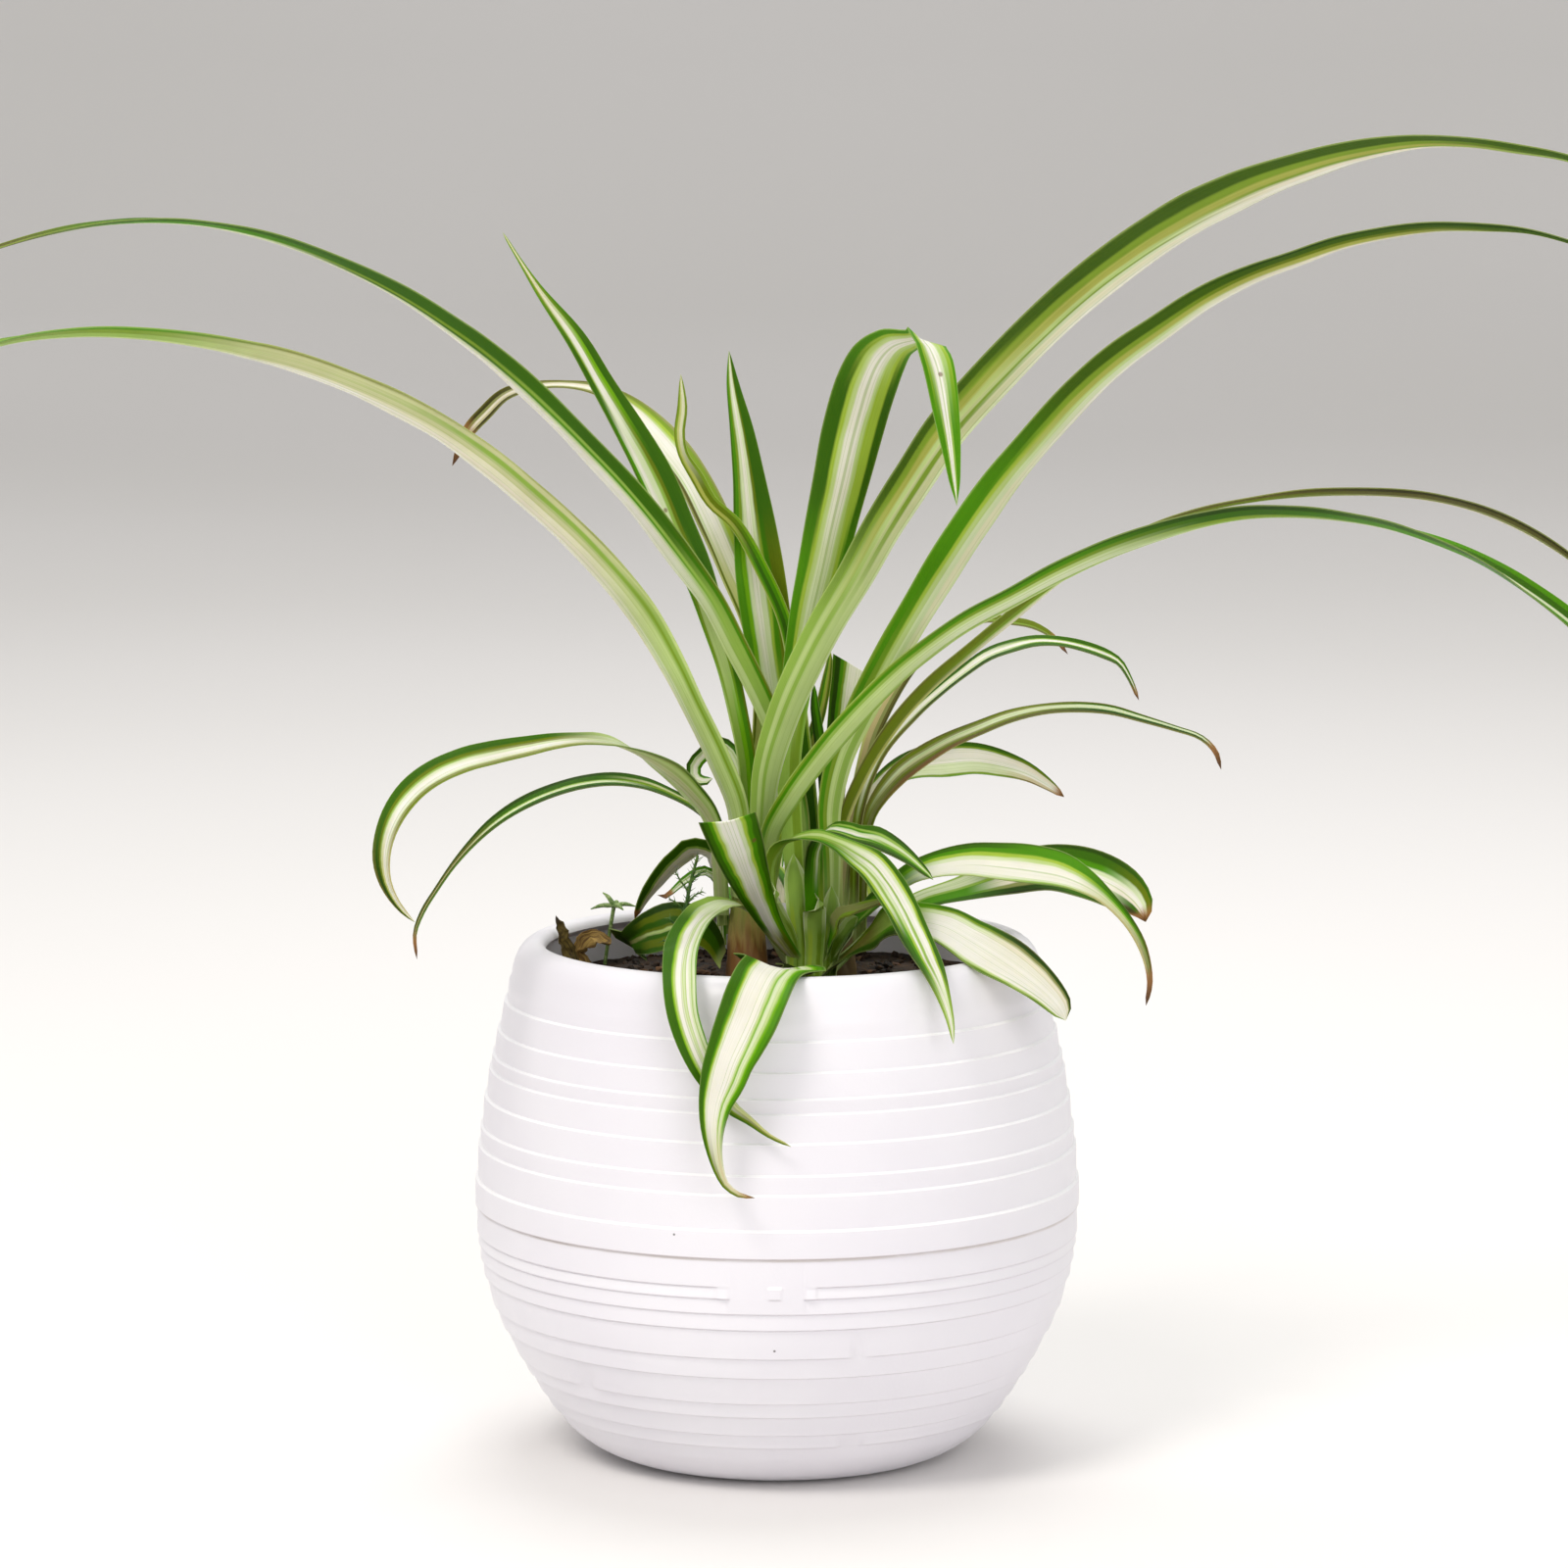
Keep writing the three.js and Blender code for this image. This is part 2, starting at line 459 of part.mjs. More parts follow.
    face: [[0.2, -0.3, 0.9], [0, -0.45, 0.9], [-0.7, -0.5, 0.3]],
    path: [
      [-11.7, 113.8, 14.2, 1.8], [-11.8, 125.9, 13.9, 1.9], [-13.6, 135.6, 12.4, 2], [-17.4, 139.5, 10, 2.1],
      [-22.5, 142.4, 7, 2.3], [-28, 144.5, 4, 2.6], [-35, 145.5, 0.6, 2.7], [-42, 144.8, -2.6, 2.8],
      [-49, 142.7, -5.6, 2.8], [-55.5, 139.6, -9, 2.7], [-61, 135.8, -11.6, 2.3],
      [-65.5, 131.5, -13.6, 1.6], [-69.5, 126.8, -15.4, 1.1], [-73, 121.7, -17, 0.9],
      [-76, 116.8, -18.6, 0.9], [-77.7, 112, -19.4, 0.7], [-77.3, 106.5, -20, 0.6],
    ],
  },
  {
    name: "leaf_trimmed_front", fold: 0.3, cut: 1, steps: 10,
    face: [[-0.1, 0.7, 0.7], [-0.2, 0.7, 0.65], [-0.2, 0.75, 0.6]],
    path: [
      [4.6, 106.1, 5.9, 2.2], [2.3, 108.9, 1.6, 3.2], [-0.9, 113.4, -3.4, 4.6], [-3.6, 118.6, -7.6, 6.6],
      [-6.3, 125, -12, 9.3], [-8.6, 131.5, -16, 11.4], [-10.7, 137.2, -19, 12.3],
    ],
  },
  {
    name: "leaf_front_hanging", fold: 0.2, steps: 20, waves: 2.5, sway: 0.7,
    face: [[0, 0.1, 1], [0, 0, 1], [0, -0.7, 0.7], [0, -1, 0.05], [0.1, -1, 0.1]],
    path: [
      [6, 103.6, 5.3, 2.4], [4.8, 104.8, -7.5, 3.8], [3.6, 104, -22, 5.2], [2, 105, -36, 6.4],
      [0.2, 105.8, -48, 8.6], [-2.2, 103.4, -59, 12.4], [-4.4, 98.8, -65, 13.4],
      [-6.4, 93.6, -67.6, 13.2], [-8.4, 89, -68.6, 12.2], [-10.3, 84.6, -69.2, 10.8],
      [-11.8, 80, -69.6, 9.8], [-13.3, 75, -70, 7.4], [-13.9, 70, -70.4, 5.4], [-13.6, 65, -70.8, 3.6],
      [-12.5, 60.2, -71, 2.3], [-11.1, 57.2, -71.2, 1.6], [-8.3, 55.1, -71.6, 1.2],
      [-4.8, 54.4, -72, 0.7],
    ],
  },
  {
    name: "leaf_front_hanging_left", fold: 0.25, steps: 20,
    face: [[0.3, 0.2, 1], [-0.3, -0.85, 0.3], [0.2, -0.95, 0.2]],
    path: [
      [2, 106.1, 8.5, 1.8], [-2.1, 113, 5.2, 1.9], [-6, 117.6, 1, 2.4], [-10.6, 119.1, -5, 2.8],
      [-14.6, 117.8, -14, 5], [-18.4, 114, -30, 6.2], [-20.6, 108.4, -47, 7.2], [-21, 101.4, -58, 7.2],
      [-20.3, 94.6, -62.4, 6.8], [-18.4, 88.4, -64, 6.4], [-15.8, 82.6, -64.6, 5.6],
      [-12.8, 77.8, -65, 4.4], [-9.7, 74, -65.4, 3], [-6, 71.3, -66, 1.9], [-1.9, 68.1, -66.6, 1],
      [3, 65.6, -67, 0.6],
    ],
  },
  {
    name: "leaf_left_back_pale", fold: 0.25, steps: 12,
    face: [[0.2, 0.3, 0.9], [-0.2, 0.55, 0.8], [-0.8, 0.3, 0.3]],
    path: [
      [-11.6, 112, 18.5, 2.4], [-12.1, 123, 19.9, 3], [-13.8, 129.4, 20.8, 3.5], [-17.4, 130.8, 22, 4],
      [-21, 128.6, 24, 4], [-24.3, 125.4, 26, 3.6], [-27, 121.9, 27.6, 3], [-29, 118.8, 28.6, 2],
      [-30.6, 115.2, 29, 0.8],
    ],
  },
  {
    name: "leaf_small_pale_left", fold: 0.3, steps: 10,
    face: [[0.2, -0.4, 0.9], [-0.1, -0.5, 0.85], [-0.4, -0.5, 0.75]],
    path: [
      [-11.8, 109.6, 15.6, 1.8], [-12.2, 118.6, 16.8, 1.8], [-13.2, 124.2, 16.8, 1.8],
      [-15.8, 125.8, 16.2, 1.9], [-19.8, 123.7, 15.2, 1.6], [-22.2, 121.5, 14.6, 1.1],
      [-24, 120.1, 14.4, 0.9], [-25.7, 120.4, 14.2, 0.6],
    ],
  },
  {
    name: "leaf_looped_dark", fold: 0.2, steps: 14,
    face: [[0, -0.5, 0.85], [-0.4, -0.7, 0.5], [-0.5, -0.5, -0.5]],
    path: [
      [-11.7, 106.4, 10, 2.8], [-14, 111, 7.6, 5], [-17.6, 114, 5.8, 8], [-22, 114.2, 5.4, 9.4],
      [-26.4, 112.8, 6.6, 9.2], [-30, 111.2, 10, 7.4], [-32, 110, 14, 5], [-31, 109, 18, 2.2],
    ],
  },
  {
    name: "leaf_front_right_long", fold: 0.3, steps: 20,
    face: [[-0.5, 0.8, 0.3], [-0.1, -0.45, 0.9], [0.5, -0.85, 0.2]],
    path: [
      [2.8, 110.9, 4.3, 2.4], [-1.1, 120, -0.8, 2.4], [-1.4, 127.6, -3, 2.4], [0.8, 131.8, -4.4, 2.4],
      [4.6, 133.4, -7, 2.6], [8.6, 133.3, -10, 2.6], [12.4, 132, -13, 3.2], [16.4, 129.8, -16.6, 5],
      [20, 127.3, -20, 6.6], [23.9, 122.4, -25, 7.1], [26.7, 117.6, -29.6, 6.8], [28.9, 113, -35, 6.5],
      [31.4, 108, -42, 5.8], [33.9, 103, -48.6, 4.3], [35.8, 98, -52.6, 2.8], [37.2, 93, -54.6, 1.6],
      [37.9, 88, -56, 0.6],
    ],
  },
  {
    name: "leaf_front_right_short", fold: 0.3, steps: 14,
    face: [[0.1, 1, 0.2], [-0.1, -0.3, 0.95], [0.5, -0.6, 0.6]],
    path: [
      [8, 108.4, 5.1, 3.4], [8, 117, 2.9, 4], [7.8, 126, 1.4, 4], [8.3, 132.4, 0.4, 3],
      [10.4, 135, -1.4, 2.8], [13.4, 134.9, -4.4, 3.7], [16.4, 134, -7.4, 4.2],
      [20.5, 133, -10.4, 4.6], [24.5, 131, -13.4, 4], [28, 128.6, -16, 3], [31, 126, -18.4, 1.8],
      [33.4, 123.7, -20, 0.7],
    ],
  },
  {
    name: "leaf_right_long_arch", fold: 0.3, steps: 18,
    face: [[-0.5, -0.3, 0.8], [-0.1, -0.55, 0.85], [0.85, -0.5, 0.1]],
    path: [
      [12.2, 108.4, 6.4, 2.4], [15.4, 113.6, 4.6, 2.8], [19.6, 118.2, 2, 3.2], [24.4, 122.2, 0, 3.6],
      [29, 125.4, -2, 4.4], [34.6, 127.3, -4, 5.6], [41, 128.2, -6.4, 6.8], [48.5, 127.8, -9.4, 7.9],
      [55, 127, -12, 8.2], [60.6, 125.8, -14.4, 7.6], [65.4, 123.6, -16.4, 5.6],
      [70.2, 120.2, -18.4, 3.4], [75, 115, -20.4, 2.3], [78, 110, -21.6, 1.9], [79.6, 105, -22.2, 1.3],
      [80, 101, -22.4, 1], [79.2, 96.4, -22.5, 0.6],
    ],
  },
  {
    name: "leaf_right_wide_dark", fold: 0.25, steps: 16, waves: 3, sway: 0.5,
    face: [[-0.4, -0.3, 0.85], [-0.1, -0.75, 0.65], [0.7, -0.6, 0.3]],
    path: [
      [11.7, 104.6, 12.3, 2.4], [17.3, 109.7, 11.6, 2.8], [24, 115, 11.4, 3.2], [31, 119.3, 12, 4],
      [40, 121.9, 12.8, 6], [49, 124.7, 13.4, 8], [57.6, 126.4, 14, 9.8], [64.6, 125.6, 14.4, 11.2],
      [70.6, 123.6, 14.6, 10.4], [75, 121, 14.6, 8.4], [77.8, 118, 14.4, 5.4], [79, 114.6, 14, 1.6],
    ],
  },
  {
    name: "leaf_right_over_rim", fold: 0.2, steps: 18, waves: 2.5, sway: 0.5,
    face: [[-0.4, -0.3, 0.85], [0.1, -0.75, 0.65], [0.75, -0.6, 0.3]],
    path: [
      [10, 103.9, 5.4, 2.6], [14.6, 107.6, -0.6, 3], [19, 111.2, -6, 3.6], [24, 114.8, -11.4, 6.2],
      [29.4, 115.2, -17, 7.2], [35.6, 114, -23, 8.6], [41.4, 110.9, -28.6, 8.9],
      [47.6, 107.1, -34, 9.8], [53.2, 103.3, -38, 9.2], [57.7, 99.6, -40.4, 7.8],
      [60.7, 96.2, -41.6, 5.6], [62, 93.2, -42, 2],
    ],
  },
  {
    name: "leaf_short_right", fold: 0.3, steps: 10,
    face: [[-0.5, -0.4, 0.75], [0, -0.6, 0.8], [0.4, -0.6, 0.7]],
    path: [
      [10.4, 107.5, 4.3, 1.6], [11.7, 112.4, 0.9, 2], [13, 116, -1.4, 2.3], [16.4, 117.3, -4, 2.2],
      [20, 118.4, -6.6, 1.7], [23.6, 119.4, -9, 0.7],
    ],
  },
  {
    name: "leaf_back_middle", fold: 0.25, steps: 12, trueWidths: true,
    face: [[0, -0.8, 0.5], [0, 0.3, 0.95], [0, 0.95, 0.2]],
    path: [
      [7.1, 108.5, 12.5, 4], [4.6, 121.8, 29.3, 6.2], [1.6, 127, 48, 8], [0, 118, 68, 8], [-2, 100, 79, 5.4],
      [-3, 80, 83, 0.8],
    ],
  },
  {
    name: "leaf_back_left", fold: 0.25, steps: 12, trueWidths: true,
    face: [[0, -0.8, 0.5], [-0.1, 0.3, 0.95], [-0.2, 0.95, 0.2]],
    path: [
      [-6.7, 109.9, 17.9, 3.6], [-7.9, 121, 33.7, 6.4], [-9, 122, 50, 8], [-12, 112, 68, 7],
      [-15, 94, 78, 4.6], [-17, 78, 81, 0.8],
    ],
  },
  {
    name: "leaf_back_right", fold: 0.25, steps: 12, trueWidths: true,
    face: [[0, -0.8, 0.5], [0.1, 0.3, 0.95], [0.2, 0.95, 0.2]],
    path: [
      [14.7, 106.9, 21.3, 3.6], [14.9, 122, 33.8, 6.2], [17, 127.5, 50, 8], [19, 118, 68, 8],
      [22, 100, 78, 5.4], [24, 82, 81, 0.8],
    ],
  },
  {
    name: "leaf_back_tall", fold: 0.3, steps: 12, trueWidths: true,
    face: [[0, -0.9, 0.3], [0, -0.2, 0.95], [0, 0.8, 0.5]],
    path: [
      [5.5, 116, 12.3, 3], [3.4, 138, 27.8, 5.4], [2.4, 151, 46, 7.5], [2, 157, 70, 7], [1.4, 152, 96, 5],
      [1, 138, 116, 2.6], [0.6, 120, 126, 0.8],
    ],
  },
];

const PLAIN_EDGE = { waves: 0, sway: 0, cut: 0, trueWidths: false };

function faceAt(leaf, share) {
  const place = share * (leaf.face.length - 1);
  const index = Math.min(Math.floor(place), leaf.face.length - 2);
  const [near, far] = leaf.face.slice(index, index + 2).map((v) => new THREE.Vector3(...v).normalize());
  return near.lerp(far, place - index);
}

// Width of a blade that runs along "along" and faces "up", so that it looks as wide as was read.
function trueWidth(leaf, place, middle, along, up) {
  const index = Math.min(Math.floor(place), leaf.path.length - 2);
  const read = THREE.MathUtils.lerp(leaf.path[index][3], leaf.path[index + 1][3], place - index);
  if (leaf.trueWidths) return Math.max(read, TIP_WIDTH);
  const sight = middle.clone().sub(EYE).normalize();
  const run = along.clone().addScaledVector(sight, -along.dot(sight)).length();
  const shown = Math.abs(up.dot(sight)) / Math.max(run, LEAST_RUN);
  const width = (read * (1 + middle.y / EYE_DISTANCE)) / Math.max(shown, LEAST_SHOWN);
  return Math.max(width, TIP_WIDTH);
}

function bladeGeometry(given) {
  const leaf = { ...PLAIN_EDGE, ...given };
  const curve = new THREE.CatmullRomCurve3(leaf.path.map(station), false, "centripetal");
  curve.arcLengthDivisions = CURVE_DIVISIONS;
  const rings = [];
  for (let i = 0; i <= leaf.steps; i += 1) {
    const share = i / leaf.steps;
    const t = curve.getUtoTmapping(share);
    const middle = curve.getPoint(t);
    const along = curve.getTangent(t);
    const across = new THREE.Vector3().crossVectors(along, faceAt(leaf, share)).normalize();
    const up = new THREE.Vector3().crossVectors(across, along).normalize();
    const half = trueWidth(leaf, t * (leaf.path.length - 1), middle, along, up) / 2;
    const calm = Math.min(1, half / FULL_RIPPLE_HALF_WIDTH);
    const ripple = leaf.sway * calm * Math.sin(2 * Math.PI * leaf.waves * share);
    const slant = i === leaf.steps ? leaf.cut : 0;
    const corner = (side, lift) => middle.clone()
      .addScaledVector(across, side * half)
      .addScaledVector(up, (Math.abs(side) - 1) * leaf.fold * half + side * ripple + lift)
      .addScaledVector(along, side * slant);
    const top = BLADE_THICKNESS / 2;
    rings.push([
      corner(-1, top), corner(0, top), corner(1, top),
      corner(1, -top), corner(0, -top), corner(-1, -top),
    ]);
  }
  return loft(rings, [[0, 1, 4], [0, 4, 5], [1, 2, 3], [1, 3, 4]]);
}

// Small growth on the soil
const SPRIG_STEM = [[-21, 100.1, -2.4], [-20.2, 112, -1.2], [-19, 121, 0], [-17, 129, 0.4]];
const SPRIG_STEM_WIDTHS = [1.3, 1.2, 1.1, 1, 1.2];
const NEEDLE_WIDTHS = [0.9, 0.7];
const NEEDLE_RISE = 1.8;

// Needles of the clubmoss as [x, z, y, reach], each rooted in the middle of its stem.
const SPRIG_NEEDLES = [
  [-20.2, 111.6, -1.2, -3], [-19.9, 114, -0.9, 3.2], [-19.6, 116.6, -0.5, -3.6],
  [-19.3, 118.6, -0.3, 3.4], [-18.9, 121, 0, -4], [-18.4, 123.2, 0.1, 3.6],
  [-17.9, 125.2, 0.2, -3], [-17.5, 127, 0.3, 2.4],
];

// The seedling's crown, and how far each of its leaves reaches from there.
const SEEDLING_STEM = [[-37, 105.5, 32], [-36, 112, 31]];
const SEEDLING_STEM_WIDTHS = [0.9, 0.9, 1];
const SEEDLING_HEAD = [-35, 118, 30];
const SEEDLING_LEAVES = [[-5, -0.6, -1], [4.6, 0, -1.5], [-2.4, 3, 1], [2, -0.8, -3], [1, 0.8, 4]];
const SEEDLING_LEAF_WIDTHS = [0.8, 1.7, 0.7];

// Share of a seedling leaf's reach that lies behind the crown, so that it is rooted in it.
const LEAF_ROOT = 0.1;

// Stems and needles are hexagonal rods, turned about the way they lean towards the back.
const STALK_SIDES = 6;
const STALK_LEAN = new THREE.Vector3(0.1, 1, 0.2);

function stalk(path, widths) {
  const points = path.map(station);
  const curve = new THREE.CatmullRomCurve3(points, false, "centripetal");
  const rings = [];
  const steps = widths.length - 1;
  for (let i = 0; i <= steps; i += 1) {
    const middle = curve.getPointAt(i / steps);
    const along = curve.getTangentAt(i / steps);
    const side = new THREE.Vector3().crossVectors(along, STALK_LEAN).normalize();
    const other = new THREE.Vector3().crossVectors(along, side).normalize();
    const ring = [];
    for (let k = 0; k < STALK_SIDES; k += 1) {
      const angle = (2 * Math.PI * k) / STALK_SIDES;
      ring.push(middle.clone()
        .addScaledVector(side, (Math.cos(angle) * widths[i]) / 2)
        .addScaledVector(other, (Math.sin(angle) * widths[i]) / 2));
    }
    rings.push(ring);
  }
  return loft(rings, fan(STALK_SIDES));
}

function joined(parts) {
  return fromManifold(parts.map(toManifold).reduce((sum, part) => sum.add(part)));
}

function sprigGeometry() {
  const parts = [stalk(SPRIG_STEM, SPRIG_STEM_WIDTHS)];
  for (const [x, z, y, reach] of SPRIG_NEEDLES) {
    parts.push(stalk([[x, z, y], [x + reach, z + NEEDLE_RISE, y]], NEEDLE_WIDTHS));
  }
  return joined(parts);
}

function seedlingGeometry() {
  const [x, z, y] = SEEDLING_HEAD;
  const parts = [stalk([...SEEDLING_STEM, SEEDLING_HEAD], SEEDLING_STEM_WIDTHS)];
  for (const [dx, dz, dy] of SEEDLING_LEAVES) {
    const root = [x - dx * LEAF_ROOT, z, y - dy * LEAF_ROOT];
    parts.push(stalk([root, [x + dx, z + dz, y + dy]], SEEDLING_LEAF_WIDTHS));
  }
  return joined(parts);
}

const DRY_LEAVES = [
  {
    name: "dry_leaf_curled", fold: 0.5, steps: 14,
    face: [[0.2, -0.6, 0.8], [0.3, -0.7, 0.6], [0.5, -0.6, 0.5]],
    path: [
      [-40.6, 105, 22, 2.4], [-42.6, 107.8, 21, 3.2], [-41, 110.6, 20, 3.4],
      [-38.4, 111.4, 19, 2.8], [-35.8, 110, 18, 1.2],
    ],
  },
  {
    name: "dry_scrap_left", fold: 0.5, steps: 14,
    face: [[0.8, -0.5, 0.2], [0.5, -0.8, 0.1], [0.4, -0.9, 0.2]],
    path: [
      [-43, 102.9, 12, 2.4], [-44.6, 108, 11, 3], [-45.8, 110.6, 10, 2.6], [-46.2, 113.2, 9, 2],
      [-47.2, 115.8, 8.6, 0.9],
    ],
  },
];

// Surface of each kind of piece
const LOOKS = {
  pot: { color: 0xf1eff4, roughness: 0.45 },
  soil: { color: 0x2c2019, roughness: 0.95 },
  crown: { color: 0xc9c188, roughness: 0.6 },
  leaf: { color: 0x5f9a3a, roughness: 0.45 },
  dryLeaf: { color: 0x6b4a2b, roughness: 0.8 },
  clubmoss: { color: 0x4f7a35, roughness: 0.7 },
  seedling: { color: 0x6f8a4a, roughness: 0.6 },
};

function part(name, geometry, look) {
  const mesh = new THREE.Mesh(geometry, new THREE.MeshStandardMaterial({ ...look, metalness: 0 }));
  mesh.name = name;
  return mesh;
}

const plant = new THREE.Group();
plant.add(part("pot", turned(potProfile()), LOOKS.pot));
plant.add(part("soil", soilGeometry(CROWNS), LOOKS.soil));
for (const stem of CROWNS) plant.add(part(stem.name, crownGeometry(stem), LOOKS.crown));
for (const leaf of LEAVES) plant.add(part(leaf.name, bladeGeometry(leaf), LOOKS.leaf));
for (const leaf of DRY_LEAVES) plant.add(part(leaf.name, bladeGeometry(leaf), LOOKS.dryLeaf));
plant.add(part("clubmoss_sprig", sprigGeometry(), LOOKS.clubmoss));
plant.add(part("star_seedling", seedlingGeometry(), LOOKS.seedling));

export default plant;
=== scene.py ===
# %% [markdown]
# # A spider plant in a ringed white pot
#
# The real object is a young spider plant: three short rootstocks in dark potting mix, each
# with a fan of long grassy leaves, in a globe-shaped plastic pot with turned rings. The
# solids of the pot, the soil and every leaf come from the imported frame, and this lesson
# dresses them: each leaf becomes a fine, thin blade with its own stripes, the pot gets its
# small relief, and the soil gets crumbs and moss. Everything is in metres, +Z is up, and the
# side that faces -Y is the front.

# %% Load the frame
import math
import random

import bmesh
import bpy
from mathutils import Matrix, Vector, noise


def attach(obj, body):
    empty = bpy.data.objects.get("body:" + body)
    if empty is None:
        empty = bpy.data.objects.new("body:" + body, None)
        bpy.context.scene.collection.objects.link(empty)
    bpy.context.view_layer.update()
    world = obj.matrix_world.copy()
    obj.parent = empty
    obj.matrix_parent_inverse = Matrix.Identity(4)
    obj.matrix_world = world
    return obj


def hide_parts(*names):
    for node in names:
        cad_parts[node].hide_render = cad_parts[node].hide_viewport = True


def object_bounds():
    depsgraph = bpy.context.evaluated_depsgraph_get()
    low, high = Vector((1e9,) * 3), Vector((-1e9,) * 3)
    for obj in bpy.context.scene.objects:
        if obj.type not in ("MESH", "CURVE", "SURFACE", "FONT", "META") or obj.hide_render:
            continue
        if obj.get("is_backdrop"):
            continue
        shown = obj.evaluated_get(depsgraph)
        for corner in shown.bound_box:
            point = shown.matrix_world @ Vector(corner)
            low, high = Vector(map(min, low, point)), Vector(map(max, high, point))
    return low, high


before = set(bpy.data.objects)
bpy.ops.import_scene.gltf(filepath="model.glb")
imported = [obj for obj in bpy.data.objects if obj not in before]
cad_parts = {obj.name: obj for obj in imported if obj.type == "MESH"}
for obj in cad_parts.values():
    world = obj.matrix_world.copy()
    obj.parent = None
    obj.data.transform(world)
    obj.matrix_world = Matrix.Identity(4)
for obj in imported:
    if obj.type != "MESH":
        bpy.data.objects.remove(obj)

CAD_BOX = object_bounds()
MM = 0.001
print("nodes in the frame:", len(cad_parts))

# %% [markdown]
# ## Camera
#
# The camera comes first, because the leaves are drawn from its place. A long lens from
# 1.3 m away keeps the pot's rings almost parallel, as a portrait of a plant would. The
# same standpoint is used below to turn what was read on the upright plane through the
# pot's axis into true points.

# %% Camera
EYE = Vector((0.0, -1.3, 0.3135))
LOOK_DOWN = math.radians(7.41)
LOOK_RIGHT = math.radians(0.064)
LENS = 140.8

camera = bpy.data.objects.new("camera", bpy.data.cameras.new("camera"))
camera.data.lens = LENS
camera.data.sensor_width = 36.0
camera.location = EYE
camera.rotation_euler = (math.pi / 2 - LOOK_DOWN, 0.0, -LOOK_RIGHT)
bpy.context.scene.collection.objects.link(camera)
bpy.context.scene.camera = camera
print("camera at", tuple(round(v, 3) for v in camera.location))

# %% [markdown]
# ## Small helpers
#
# A colour is picked as it looks on screen, so it is written as a hex word and turned into
# the linear numbers that a shader works with. A finished mesh always goes through the same
# steps: it becomes an object at the origin, gets its material, and rides on the plant's one
# body. Doing that in one place keeps every later cell short.

# %% Colour and finishing helpers


def color(word):
    """Linear red, green, blue and alpha of a hex word such as "#88aa33"."""
    channels = [int(word[i:i + 2], 16) / 255 for i in (1, 3, 5)]
    linear = [c / 12.92 if c <= 0.04045 else ((c + 0.055) / 1.055) ** 2.4 for c in channels]
    return (*linear, 1.0)


def finish_piece(bm, name, material, nodes=(), sharp=40):
    """Turns a mesh in progress into a piece that rides on the plant's body."""
    mesh = bpy.data.meshes.new(name)
    bm.to_mesh(mesh)
    bm.free()
    mesh.shade_smooth()
    mesh.set_sharp_from_angle(angle=math.radians(sharp))
    mesh.materials.append(material)
    piece = bpy.data.objects.new(name, mesh)
    bpy.context.scene.collection.objects.link(piece)
    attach(piece, "root")
    if nodes:
        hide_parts(*nodes)
    return piece


def smoothstep(low, high, value):
    share = min(max((value - low) / (high - low), 0.0), 1.0)
    return share * share * (3 - 2 * share)


def lerp(a, b, share):
    return a + (b - a) * share


def hermite(a, b, start, end, t):
    """Cubic from a to b with the slopes start and end, at the share t."""
    return (a + start * t + (3 * (b - a) - 2 * start - end) * t ** 2
            + (2 * (a - b) + start + end) * t ** 3)


def lathe(profile, steps, scale=1.0, merge=1e-6):
    """A profile of radius and height, spun once round the upright axis."""
    bm = bmesh.new()
    verts = [bm.verts.new((r * scale, 0, z * scale)) for r, z in profile]
    edges = [bm.edges.new(pair) for pair in zip(verts[:-1], verts[1:])]
    bmesh.ops.spin(bm, geom=verts + edges, cent=(0, 0, 0), axis=(0, 0, 1), dvec=(0, 0, 0),
                   angle=2 * math.pi, steps=steps, use_merge=True)
    bmesh.ops.remove_doubles(bm, verts=bm.verts, dist=merge)
    return bm


# %% Node helpers


